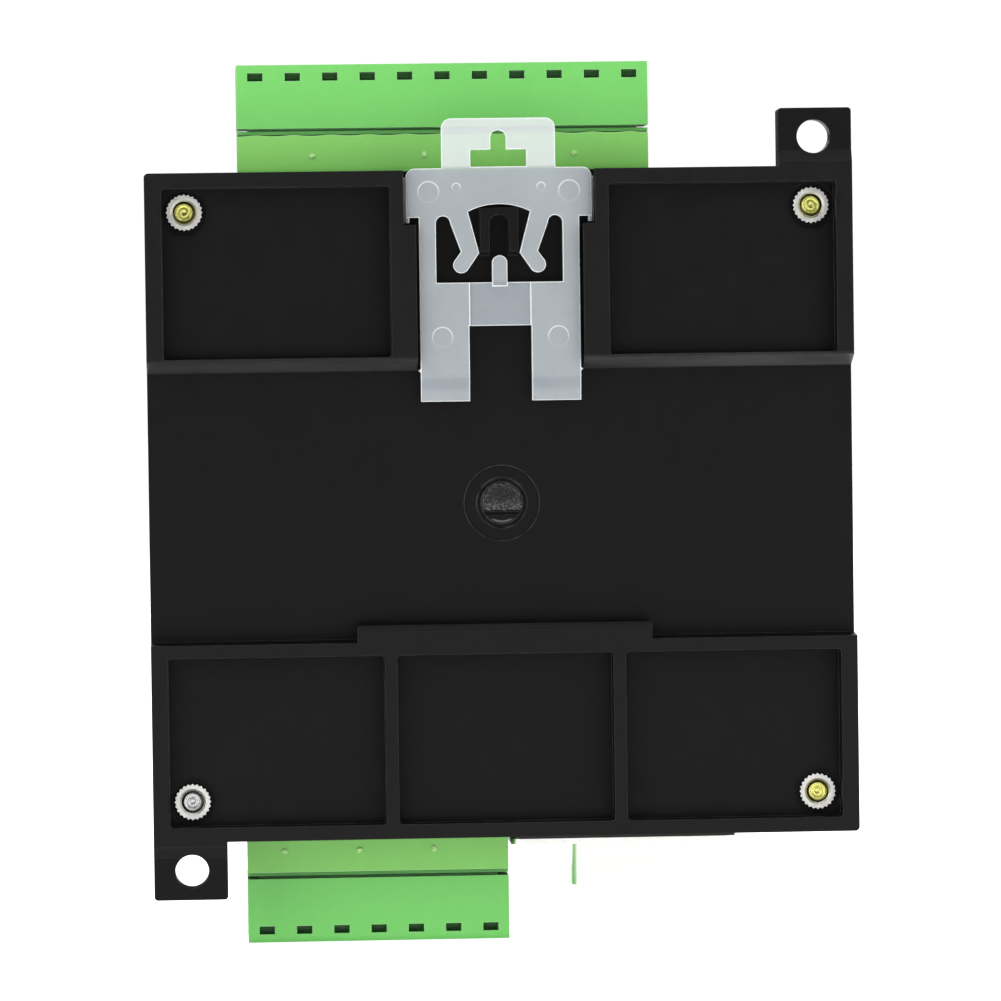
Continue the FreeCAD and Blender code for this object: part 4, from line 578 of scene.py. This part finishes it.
def lamp_rings(finish):
    """A ring round each of the three light pipes."""
    low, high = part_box("light_pipes")
    row = 0.5 * (low.z + high.z)
    places = [low.x + 2.1 * MM + order * 7.0 * MM for order in range(3)]
    return [finish.band(finish.away(x, row), 2.5 * MM, 2.85 * MM) for x in places]


def switch_frame(finish):
    """A frame round the setting switch: one rectangle less a smaller one."""
    low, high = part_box("switch_body")
    outer, inner = [finish.patch(low.x - gap, high.x + gap, low.z - gap, high.z + gap)
                    for gap in (2.8 * MM, 2.24 * MM)]
    return finish.minus(outer, inner, clamp=True)


def milky_nylon():
    """Natural nylon: cloudy, a little see-through, whiter at its edges, with faint ejector marks whose
    rings carry painted highlights.
    """
    clip = look("clip")
    base, pale = colour(clip.base), colour(clip.edge)
    finish = Finish("clip_nylon", IOR=1.50)
    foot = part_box("din_clip")[0].z
    rounded = finish.soft_edges(0.20 * MM)
    rim = finish.edge_mask(rounded, gain=12.0)
    clouds = finish.fit(finish.noise(5 * MM, detail=5, roughness=0.6), 0.35, 0.68)
    tone = finish.blend(finish.times(clouds, 0.35), base, shade(base, 0.78))
    ring = ejector_marks(finish)
    # The ejector rings are real shallow marks; their pale colour is painted highlight, strongest on the
    # upper halves.
    tone = finish.blend(finish.times(ring, 0.85), tone, pale)
    thin = finish.times(finish.band(finish.x, -4.05 * MM, 4.05 * MM, 0.05 * MM),
                        finish.band(finish.z, foot + 10.0 * MM, foot + 16.0 * MM, 0.05 * MM))
    ramp = finish.band(finish.z, foot + 1.6 * MM, foot + 3.2 * MM, 0.45 * MM)
    deeper = finish.any_of(finish.times(thin, 0.30), finish.times(ramp, 0.35))
    tone = finish.blend(deeper, tone, (0.20, 0.235, 0.29))
    head = finish.fit(finish.z, 44.9 * MM, 45.4 * MM, 0.0, 0.42)
    tone = finish.blend(head, tone, pale)
    finish.put("Base Color", finish.blend(rim, tone, pale))
    finish.put("Alpha", finish.plus(finish.times(rim, 1.0 - clip.opacity), clip.opacity, clamp=True))
    height = finish.minus(finish.noise(0.22 * MM, detail=2), finish.times(ring, 1.2))
    finish.put("Normal", finish.bump(height, 0.012 * MM, rounded))
    finish.put("Roughness", finish.fit(finish.noise(2.5 * MM, detail=4), 0.3, 0.7,
                                       clip.roughness - 0.06, clip.roughness + 0.10))
    finish.put("Subsurface Weight", 0.25)
    finish.put("Subsurface Radius", (0.0016, 0.0017, 0.0018))
    return finish.material


def ejector_marks(finish):
    """Three pairs of round ejector marks, whose rings carry a painted highlight that fades towards
    their lower halves.
    """
    marks = []
    for side, above, radius in ((9.45, 41.9, 1.4), (5.7, 42.5, 0.55), (7.8, 22.4, 1.35)):
        rise = finish.minus(finish.z, above * MM)
        reach = finish.length(finish.minus(finish.size(finish.x), side * MM), rise)
        ring = finish.band(reach, (radius - 0.07) * MM, (radius + 0.07) * MM, 0.05 * MM)
        lit = finish.fit(rise, -0.6 * radius * MM, 0.5 * radius * MM, 0.15, 1.0)
        marks.append(finish.times(ring, lit))
    return finish.any_of(*marks)


def green_polyamide(name, base, roughness):
    """Glass-filled green plastic: faint streaks along the flow, painted shade deeper in its holes,
    painted highlights on its edges and painted light on its window floors.
    """
    finish = Finish(name, IOR=1.48)
    rounded = finish.soft_edges(0.15 * MM)
    rim = finish.edge_mask(rounded, gain=9.0)
    streaks = finish.fit(finish.noise(0.9 * MM, detail=4, stretch=(1, 1, 3)), 0.3, 0.7)
    tone = finish.blend(finish.times(streaks, 0.16), base, shade(base, 0.82))
    # Painted shade: a darker copy of the green, laid into holes and corners by ambient occlusion.
    dark = tuple(part * share for part, share in zip(base, (0.0875, 0.35, 0.0875)))
    tone = finish.blend(finish.fit(finish.shelter(1.5 * MM), 0.15, 0.85), dark, tone)
    # Painted highlight: the edges are painted towards this lighter copy of the green.
    light = tuple(min(1.0, 0.32 + 0.90 * part) for part in base)
    # Painted light on the floor of each rear window.
    tone = finish.blend(window_floor_light(finish), tone, (0.10, 0.33, 0.085))
    finish.put("Base Color", finish.blend(finish.times(rim, 0.70), tone, light))
    finish.put("Normal", finish.bump(finish.noise(0.20 * MM, detail=2.5), 0.008 * MM, rounded))
    finish.put("Roughness", finish.fit(finish.noise(1.6 * MM, detail=4), 0.3, 0.7,
                                       roughness - 0.06, roughness + 0.10))
    finish.put("Subsurface Weight", 0.08)
    finish.put("Subsurface Radius", (0.0004, 0.0009, 0.0004))
    return finish.material


def window_floor_light(finish):
    """Painted light: a paler strip on the floor of each rear window."""
    row = finish.band(finish.size(finish.z), 57.74 * MM, 58.08 * MM, 0.05 * MM)
    inside = finish.fit(finish.y, -9.4 * MM, -9.2 * MM, 1.0, 0.0)
    through = finish.share(finish.minus(FIRST_POLE_EDGE, finish.x), POLE_PITCH)
    return finish.times(row, inside, finish.band(through, 0.36, 0.64, 0.02))


def circuit_board():
    """Green solder mask over darker copper runs, with the weave just showing."""
    finish = Finish("board_green", IOR=1.52, Roughness=0.30)
    track_pitch = 1.27 * MM
    runs = finish.band(finish.share(finish.x, track_pitch), 0.3, 0.62, 0.03)
    rows = finish.band(finish.share(finish.z, track_pitch), 0.3, 0.62, 0.03)
    split = finish.fit(finish.noise(7 * MM, detail=1), 0.48, 0.50)
    copper = finish.plus(finish.times(runs, split), finish.times(rows, finish.minus(1.0, split)),
                         clamp=True)
    finish.put("Base Color", finish.blend(finish.times(copper, 0.7), (0.006, 0.085, 0.026),
                                          (0.010, 0.150, 0.045)))
    weave = finish.plus(copper, finish.times(finish.noise(0.3 * MM, detail=2), 0.25))
    finish.put("Normal", finish.bump(weave, 0.02 * MM))
    return finish.material


def plain_part(name, base, roughness, depth=0.01 * MM):
    """A small moulded or fired part, mottled, with painted shade darkening its corners and painted
    highlights on its edges.
    """
    finish = Finish(name, IOR=1.48)
    rounded = finish.soft_edges(0.10 * MM)
    rim = finish.edge_mask(rounded, gain=4.0)
    mottled = finish.fit(finish.noise(1.1 * MM, detail=4), 0.3, 0.7)
    tone = finish.blend(finish.times(mottled, 0.22), base, shade(base, 0.75))
    # Painted shade: ambient occlusion darkens the colour in corners and pits.
    tone = finish.darken(tone, finish.fit(finish.shelter(1.2 * MM), 0.2, 0.9, 0.5, 1.0))
    # Painted highlight: the edges are painted towards this lighter copy of the base.
    light = tuple(min(1.0, 0.04 + 1.3 * part) for part in base)
    finish.put("Base Color", finish.blend(finish.times(rim, 0.5), tone, light))
    finish.put("Normal", finish.bump(finish.noise(0.2 * MM, detail=2.5), depth, rounded))
    finish.put("Roughness", finish.fit(finish.noise(1.5 * MM, detail=3), 0.3, 0.7,
                                       roughness - 0.06, roughness + 0.10))
    return finish.material


# ---------------------------------------------------------------- pieces

def corner_places():
    """The four corner fixings' lines, in x and z, from the screws' box."""
    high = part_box("cover_screws")[1]
    head_radius = 2.75 * MM
    side = high.x - head_radius
    end = high.z - head_radius
    return [(sign_x * side, sign_z * end) for sign_z in (1, -1) for sign_x in (-1, 1)]


def socket_screw(centre, low, high, pitch, depth, turn):
    """A socket screw from its hex to its tip.

    The radius is a function of height and angle. In the socket it is a hexagon's:
    apothem / cos(angle past the nearest flat). On the head's side it carries a fine knurl,
    radius + height * max(0, cos(48 * angle)). On the thread it is
    radius - depth * |2 * share - 1| ^ 1.3, where share is the fraction of
    height / pitch - angle / full circle; the groove fades in, and the tip is rounded over.
    """
    columns = 96
    angle = np.linspace(0, 2 * math.pi, columns, endpoint=False)[None, :] + turn
    flat = (angle + math.pi / 6) % (math.pi / 3) - math.pi / 6
    hexagon = 1.25 * MM / np.cos(flat)
    ones = np.ones_like(angle)
    head_rear = low + 2.0 * MM
    start = high - 6.0 * MM
    knurl = 0.05 * MM * np.maximum(0.0, np.cos(48 * angle))
    core, neck = 1.45 * MM * ones, 1.62 * MM * ones
    rows = [
        (low + 1.25 * MM, 0.0 * ones),
        (low + 1.20 * MM, 0.6 * hexagon),
        (low + 1.15 * MM, hexagon * 0.97),
        (low + 1.05 * MM, hexagon),
        (low + 0.12 * MM, hexagon),
        (low + 0.03 * MM, np.maximum(hexagon, 1.44 * MM * ones)),
        (low, 1.60 * MM * ones),
        (low, 2.35 * MM * ones),
        (low + 0.05 * MM, 2.50 * MM * ones),
        (low + 0.25 * MM, 2.69 * MM * ones),
        (low + 0.35 * MM, 2.69 * MM + knurl),
        (head_rear - 0.25 * MM, 2.69 * MM + knurl),
        (head_rear - 0.12 * MM, 2.68 * MM * ones),
        (head_rear, 2.60 * MM * ones),
        (head_rear, neck),
        (head_rear + 0.15 * MM, core),
        (start - 0.6 * MM, core),
    ]
    thread = np.linspace(start, high, 145)[:, None]
    phase = (thread / pitch - angle / (2 * math.pi)) % 1.0
    groove = np.abs(2.0 * phase - 1.0) ** 1.3
    fade = np.clip((thread - start) / (0.8 * MM), 0, 1)
    nose = np.clip((high - thread) / (0.35 * MM), 0, 1)
    radius = 1.45 * MM - depth * groove * fade - 0.30 * MM * (1 - nose) ** 1.2
    crater = ((0.0, 0.98), (0.10, 0.90), (0.12, 0.72), (0.03, 0.62), (0.02, 0.42), (0.20, 0.34),
              (0.26, 0.0))
    heights = np.concatenate([np.full((1, 1), y) for y, _ in rows] + [thread]
                             + [np.full((1, 1), high - deep * MM) for deep, _ in crater])
    radii = np.concatenate([r for _, r in rows] + [radius] + [r * MM * ones for _, r in crater])
    return turned(heights * np.ones((1, columns)), radii, centre, columns)


def knurled_bush(centre, low, high, teeth):
    """A knurled bush: rings of teeth outside, a bevelled bore inside.

    The outer radius is 2.5 - 0.2 * (0.5 - 0.5 cos(teeth * angle)) ^ 0.8, less in the
    middle groove; the bore opens from 1.5 to 1.75 at both ends. The last row joins the first.
    """
    columns = teeth * 8
    angle = np.linspace(0, 2 * math.pi, columns, endpoint=False)[None, :]
    cut = (0.5 - 0.5 * np.cos(teeth * angle)) ** 0.8
    ones = np.ones_like(angle)
    bore = 1.50 * MM * ones
    waist = 2.2 * MM * ones
    outer = (2.50 - 0.20 * cut) * MM
    middle = 0.5 * (low + high)
    rows = [
        (low + 0.30 * MM, bore),
        (low, 1.75 * MM * ones),
        (low, 2.22 * MM * ones),
        (low + 0.12 * MM, outer - 0.06 * MM),
        (middle - 0.5 * MM, outer),
        (middle - 0.4 * MM, waist),
        (middle + 0.4 * MM, waist),
        (middle + 0.5 * MM, outer),
        (high - 0.05 * MM, outer),
        (high, outer - 0.05 * MM),
        (high, 2.18 * MM * ones),
        (high, 1.78 * MM * ones),
        (high - 0.28 * MM, bore),
        (low + 0.30 * MM, bore),
    ]
    heights = np.array([[y] for y, _ in rows])
    return turned(heights * np.ones((1, columns)), np.concatenate([r for _, r in rows]), centre,
                  columns)


def torn_patch(centre, reach, base, height, seed, rough=0.35, crown=0.5, rows=14, columns=64):
    """A torn patch of plastic on a face that looks along +Y.

    From the centre outwards the point is centre + share * reach(angle), and its height is
    height * (1 - share^4)^crown * (1 + rough * noise); the underside is flat.
    """
    angle = np.linspace(0, 2 * math.pi, columns, endpoint=False)[None, :]
    edge = reach(angle)
    share = np.linspace(0, 1, rows)[:, None]
    flat = np.stack(np.broadcast_arrays(share * edge * np.cos(angle), share * edge * np.sin(angle)),
                    axis=-1)
    lumps = wave_noise(flat / MM, seed, octaves=4, start=2.2)
    up = height * (1 - share ** 4) ** crown * (1 + rough * lumps)
    top = np.stack((centre[0] + flat[..., 0], base + np.maximum(up, 0.0), centre[1] + flat[..., 1]),
                   axis=-1)
    under = top[::-1].copy()
    under[..., 1] = base - 0.02 * MM
    return np.concatenate((top, under))


# ---------------------------------------------------------------- operators

class DRIVER_OT_case(bpy.types.Operator):
    """Finish the case and tear the sprue at its moulding gate"""
    bl_idname = "driver.case"
    bl_label = "Case"

    def execute(self, context):
        paint(black_case(), "rear_shell", "front_cover")
        grid = torn_patch((0.0, 0.80 * MM), self.sprue_reach, -0.17 * MM, 0.22 * MM, seed=5,
                          rough=0.45, crown=0.35, rows=26, columns=120)
        finish = Finish("sprue_black", IOR=1.46, Specular_IOR_Level=0.25)
        ragged = finish.fit(finish.noise(0.30 * MM, detail=5, roughness=0.7), 0.44, 0.60)
        fringe = finish.fit(finish.z, -0.95 * MM, 0.9 * MM, 1.0, 0.12)
        rim = finish.fit(finish.away(0.0, 0.0), 1.7 * MM, 2.6 * MM, 0.0, 0.55)
        pale = finish.times(ragged, finish.any_of(fringe, rim))
        finish.put("Base Color", finish.blend(pale, (0.0035, 0.0035, 0.0035), (0.110, 0.110, 0.112)))
        finish.put("Normal", finish.bump(finish.noise(0.16 * MM, detail=4), 0.05 * MM))
        finish.put("Roughness", finish.fit(ragged, 0.0, 1.0, 0.55, 0.30))
        add_piece("sprue_tear", mesh_of_grids("sprue_tear", [grid], 60), finish.material, "case")
        return {"FINISHED"}

    @staticmethod
    def sprue_reach(angle):
        """Distance from the patch's middle to the stub's edge, or to the chord across it.

        The circle's is the root of |middle + reach * direction| = radius; the chord's is
        the drop to it over the sine of the angle. A slow wave makes the edge uneven.
        """
        middle, radius, chord = 0.80, 2.72, -0.98
        down = np.sin(angle)
        circle = -middle * down + np.sqrt((middle * down) ** 2 - middle ** 2 + radius ** 2)
        straight = np.where(down < -0.05, (chord - middle) / np.minimum(down, -0.05), 99.0)
        uneven = 1 + 0.03 * np.sin(7 * angle + 1) + 0.02 * np.sin(13 * angle)
        return np.minimum(circle, straight) * uneven * MM


class DRIVER_OT_rail_clip(bpy.types.Operator):
    """Finish the sliding rail clip"""
    bl_idname = "driver.rail_clip"
    bl_label = "Rail clip"

    def execute(self, context):
        paint(milky_nylon(), "din_clip")
        return {"FINISHED"}


class DRIVER_OT_terminals(bpy.types.Operator):
    """Finish both terminals and tear the gate marks on their headers"""
    bl_idname = "driver.terminals"
    bl_label = "Terminals"

    def execute(self, context):
        terminals = look("terminals")
        paint(green_polyamide("plug_green", colour(terminals.plug), terminals.roughness),
              "top_plug_housing", "bottom_plug_housing")
        header = green_polyamide("header_green", colour(terminals.header), terminals.roughness)
        paint(header, "top_header", "bottom_header")
        tin = metal("tinned_metal", colour(terminals.tin), 0.34)
        paint(tin, "top_header_pins", "bottom_header_pins", "top_plug_clamps", "bottom_plug_clamps",
              "top_plug_contacts", "bottom_plug_contacts")
        steel = metal("screw_steel", colour(look("metal").steel), 0.32, grain=0.12 * MM)
        paint(steel, *[f"{row}_screw_{order}" for row, poles in POLES.items()
                       for order in range(1, poles + 1)])
        self.gate_marks(terminals)
        return {"FINISHED"}

    def gate_marks(self, terminals):
        """Three torn gates on each header, over its low round marks."""
        finish = Finish("gate_tear", IOR=1.48)
        pale = finish.fit(finish.noise(0.25 * MM, detail=4), 0.35, 0.6)
        finish.put("Base Color", finish.blend(pale, colour(terminals.header), colour(terminals.splash)))
        finish.put("Normal", finish.bump(finish.noise(0.12 * MM, detail=3), 0.03 * MM))
        finish.put("Roughness", finish.fit(pale, 0.0, 1.0, 0.45, 0.22))
        grids = []
        inset = 2.9 * MM
        for node, poles in (("top_header", (2, 5, 9)), ("bottom_header", (1, 3, 5))):
            low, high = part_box(node)
            height = high.z - inset if node == "top_header" else low.z + inset
            for order in poles:
                def splash(angle, order=order):
                    """An uneven round outline, different for each mark."""
                    return terminals.splash_radius * (
                        1 + 0.16 * np.sin(2 * angle + order) + 0.10 * np.sin(3 * angle + 2 * order)
                        + 0.06 * np.sin(7 * angle))
                grids.append(torn_patch(
                    (high.x - order * POLE_PITCH, height), splash, high.y - 0.14 * MM, 0.19 * MM,
                    seed=20 + order, rough=0.25, rows=10, columns=40))
        add_piece("header_gate_marks", mesh_of_grids("header_gate_marks", grids, 60),
                  finish.material, "case")


class DRIVER_OT_fixings(bpy.types.Operator):
    """Make the threaded cover screws and the knurled bushes"""
    bl_idname = "driver.fixings"
    bl_label = "Fixings"

    def execute(self, context):
        metals = look("metal")
        low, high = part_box("cover_screws")
        places = corner_places()
        screws = [socket_screw(place, low.y, high.y, metals.thread_pitch, metals.thread_depth, turn)
                  for place, turn in zip(places, (0.3, 1.1, 2.0, 2.6))]
        zinc = metal("zinc_yellow", colour(metals.zinc), 0.26, grain=0.15 * MM, stain=0.45,
                     odd_one=colour(metals.steel))
        add_piece("socket_screws", mesh_of_grids("socket_screws", screws, 32), zinc, "case",
                  ["cover_screws"])
        low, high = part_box("corner_inserts")
        bushes = [knurled_bush(place, low.y, high.y, metals.knurl_teeth) for place in places]
        nickel = metal("insert_metal", colour(metals.insert), 0.36, grain=0.10 * MM, stain=0.30)
        add_piece("knurled_bushes", mesh_of_grids("knurled_bushes", bushes, 32), nickel, "case",
                  ["corner_inserts"])
        return {"FINISHED"}


class DRIVER_OT_front_panel(bpy.types.Operator):
    """Finish the front label, the setting switch and the light pipes"""
    bl_idname = "driver.front_panel"
    bl_label = "Front panel"

    def execute(self, context):
        paint(printed_label(), "front_label")
        paint(plain_part("switch_red", (0.42, 0.020, 0.016), 0.34), "switch_body")
        paint(plain_part("slider_white", (0.72, 0.72, 0.69), 0.36),
              *[f"switch_slider_{n}" for n in range(1, 7)])
        pipe = Finish("pipe_clear", IOR=1.49, Transmission_Weight=0.85)
        haze = pipe.fit(pipe.noise(0.5 * MM, detail=3), 0.3, 0.7)
        pipe.put("Base Color", pipe.blend(haze, (0.90, 0.92, 0.90), (0.72, 0.76, 0.74)))
        pipe.put("Roughness", pipe.fit(haze, 0.0, 1.0, 0.10, 0.26))
        pipe.put("Normal", pipe.bump(pipe.noise(0.3 * MM, detail=2), 0.004 * MM,
                                     pipe.soft_edges(0.12 * MM)))
        paint(pipe.material, "light_pipes")
        return {"FINISHED"}


class DRIVER_OT_serial_socket(bpy.types.Operator):
    """Finish the 9-way serial socket"""
    bl_idname = "driver.serial_socket"
    bl_label = "Serial socket"

    def execute(self, context):
        paint(metal("bright_nickel", colour(look("metal").nickel), 0.36, grain=0.3 * MM,
                    stretch=(6, 1, 1), stain=0.10, dark=0.25), "serial_shell")
        paint(plain_part("part_black", (0.012, 0.012, 0.013), 0.45), "serial_insulator",
              "power_transistors", "controller_chip", "link_header", "link_socket")
        paint(metal("contact_gold", (0.80, 0.56, 0.20), 0.28, grain=0.1 * MM), "serial_contacts",
              "link_pins")
        return {"FINISHED"}


class DRIVER_OT_boards(bpy.types.Operator):
    """Finish the two boards and what is soldered to them"""
    bl_idname = "driver.boards"
    bl_label = "Boards"

    def execute(self, context):
        paint(circuit_board(), "main_board", "control_board")
        paint(metal("spacer_brass", (0.74, 0.55, 0.25), 0.30), "board_spacers")
        paint(metal("spacer_screw_steel", (0.62, 0.62, 0.60), 0.30), "spacer_screws")
        paint(plain_part("capacitor_sleeve", (0.018, 0.020, 0.036), 0.28), "bulk_capacitors")
        paint(metal("sink_metal", (0.10, 0.10, 0.105), 0.42, stretch=(1, 8, 1)), "heat_sink")
        paint(plain_part("ferrite", (0.045, 0.043, 0.042), 0.70, depth=0.03 * MM), "power_inductor")
        paint(plain_part("coupler_white", (0.70, 0.69, 0.64), 0.40), "opto_couplers")
        paint(plain_part("resistor_black", (0.016, 0.016, 0.018), 0.30), "sense_resistors")
        paint(plain_part("lamp_clear", (0.80, 0.80, 0.72), 0.25), "status_lamps")
        return {"FINISHED"}


class DRIVER_OT_stage(bpy.types.Operator):
    """Set up the pale floor, the soft lights and the camera"""
    bl_idname = "driver.stage"
    bl_label = "Stage"

    def execute(self, context):
        stage = look("stage")
        self.floor(stage)
        self.world(context.scene, stage)
        self.lights()
        self.camera(context.scene, stage)
        context.scene.view_settings.view_transform = "Standard"
        context.scene.view_settings.look = "None"
        return {"FINISHED"}

    def floor(self, stage):
        """A flat sheet under the object: a grid of points at one height."""
        height = float(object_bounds()[0][2]) - 0.2 * MM
        points_a_side = 9
        reach = np.linspace(-4.0, 4.0, points_a_side)
        across, along = np.meshgrid(reach, reach, indexing="ij")
        points = np.stack((across, along, np.full_like(across, height)), axis=-1).reshape(-1, 3)
        index = np.arange(points_a_side ** 2).reshape(points_a_side, points_a_side)
        quads = np.stack((index[:-1, :-1], index[1:, :-1], index[1:, 1:], index[:-1, 1:]), axis=-1)
        mesh = bpy.data.meshes.new("pale_floor")
        mesh.from_pydata(points.tolist(), [], quads.reshape(-1, 4).tolist())
        sheet = bpy.data.objects.new("pale_floor", mesh)
        bpy.context.scene.collection.objects.link(sheet)
        finish = Finish("pale_floor", Roughness=0.85)
        pale = colour(stage.floor)
        finish.put("Base Color", finish.blend(finish.noise(0.4, detail=3), pale, shade(pale, 0.97)))
        finish.put("Emission Color", (1.0, 1.0, 1.0))
        path = finish.tree.nodes.new("ShaderNodeLightPath")
        finish.put("Emission Strength", finish.fit(path.outputs["Is Camera Ray"], 0, 1, 0.80, 1.05))
        mesh.materials.append(finish.material)
        sheet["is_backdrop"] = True

    def world(self, scene, stage):
        """A white backdrop to the eye, and a dimmer room for the light it gives."""
        world = bpy.data.worlds.new("studio")
        world.use_nodes = True
        scene.world = world
        tree = world.node_tree
        tree.nodes.clear()
        output = tree.nodes.new("ShaderNodeOutputWorld")
        seen = tree.nodes.new("ShaderNodeBackground")
        seen.inputs["Color"].default_value = (1, 1, 1, 1)
        seen.inputs["Strength"].default_value = 1.05
        room = tree.nodes.new("ShaderNodeBackground")
        room.inputs["Color"].default_value = (0.97, 0.98, 1.0, 1)
        room.inputs["Strength"].default_value = stage.world
        path = tree.nodes.new("ShaderNodeLightPath")
        mix = tree.nodes.new("ShaderNodeMixShader")
        tree.links.new(path.outputs["Is Camera Ray"], mix.inputs[0])
        tree.links.new(room.outputs[0], mix.inputs[1])
        tree.links.new(seen.outputs[0], mix.inputs[2])
        tree.links.new(mix.outputs[0], output.inputs["Surface"])

    def lights(self):
        """Four square soft boxes that face the object."""
        for name, place, size, power in (
                ("overhead_box", (0.0, 0.35, 1.10), 1.3, 9.0),
                ("left_box", (0.95, 0.75, 0.40), 0.8, 9.0),
                ("right_box", (-0.95, 0.75, 0.35), 0.8, 8.0),
                ("front_box", (0.10, -1.00, 0.70), 1.0, 9.0)):
            light = bpy.data.lights.new(name, "AREA")
            light.shape = "SQUARE"
            light.size = size
            light.energy = power
            lamp = bpy.data.objects.new(name, light)
            lamp.location = place
            lamp.rotation_euler = (-Vector(place)).to_track_quat("-Z", "Y").to_euler()
            bpy.context.scene.collection.objects.link(lamp)

    def camera(self, scene, stage):
        """A long lens aimed at the object, with a small roll."""
        data = bpy.data.cameras.new("camera")
        data.lens = stage.lens
        data.sensor_width = 36.0
        data.clip_start = 0.01
        data.clip_end = 50.0
        camera = bpy.data.objects.new("camera", data)
        place = Vector(stage.camera_place)
        view = (Vector(stage.camera_aim) - place).to_track_quat("-Z", "Y").to_matrix().to_4x4()
        roll = Matrix.Rotation(stage.camera_roll, 4, "Z")
        camera.matrix_world = Matrix.Translation(place) @ view @ roll
        scene.collection.objects.link(camera)
        scene.camera = camera


OPERATORS = (DRIVER_OT_case, DRIVER_OT_rail_clip, DRIVER_OT_terminals, DRIVER_OT_fixings,
             DRIVER_OT_front_panel, DRIVER_OT_serial_socket, DRIVER_OT_boards, DRIVER_OT_stage)


class DRIVER_PT_panel(bpy.types.Panel):
    """Lists the module's operators"""
    bl_idname = "DRIVER_PT_panel"
    bl_label = "Stepper driver module"
    bl_space_type = "VIEW_3D"
    bl_region_type = "UI"
    bl_category = "Driver"

    def draw(self, context):
        for operator in OPERATORS:
            self.layout.operator(operator.bl_idname)
        for name in LOOKS:
            group = look(name)
            box = self.layout.box()
            box.label(text=name.capitalize())
            for setting in group.__annotations__:
                box.prop(group, setting)


def register():
    for name, group in LOOKS.items():
        bpy.utils.register_class(group)
        setattr(bpy.types.Scene, f"driver_{name}", bpy.props.PointerProperty(type=group))
    for item in (*OPERATORS, DRIVER_PT_panel):
        bpy.utils.register_class(item)


def unregister():
    for item in reversed((*OPERATORS, DRIVER_PT_panel)):
        bpy.utils.unregister_class(item)
    for name, group in LOOKS.items():
        delattr(bpy.types.Scene, f"driver_{name}")
        bpy.utils.unregister_class(group)


def main():
    """Build everything."""
    register()
    bpy.ops.driver.case()
    bpy.ops.driver.rail_clip()
    bpy.ops.driver.terminals()
    bpy.ops.driver.fixings()
    bpy.ops.driver.front_panel()
    bpy.ops.driver.serial_socket()
    bpy.ops.driver.boards()
    bpy.ops.driver.stage()


if __name__ == "__main__":
    main()
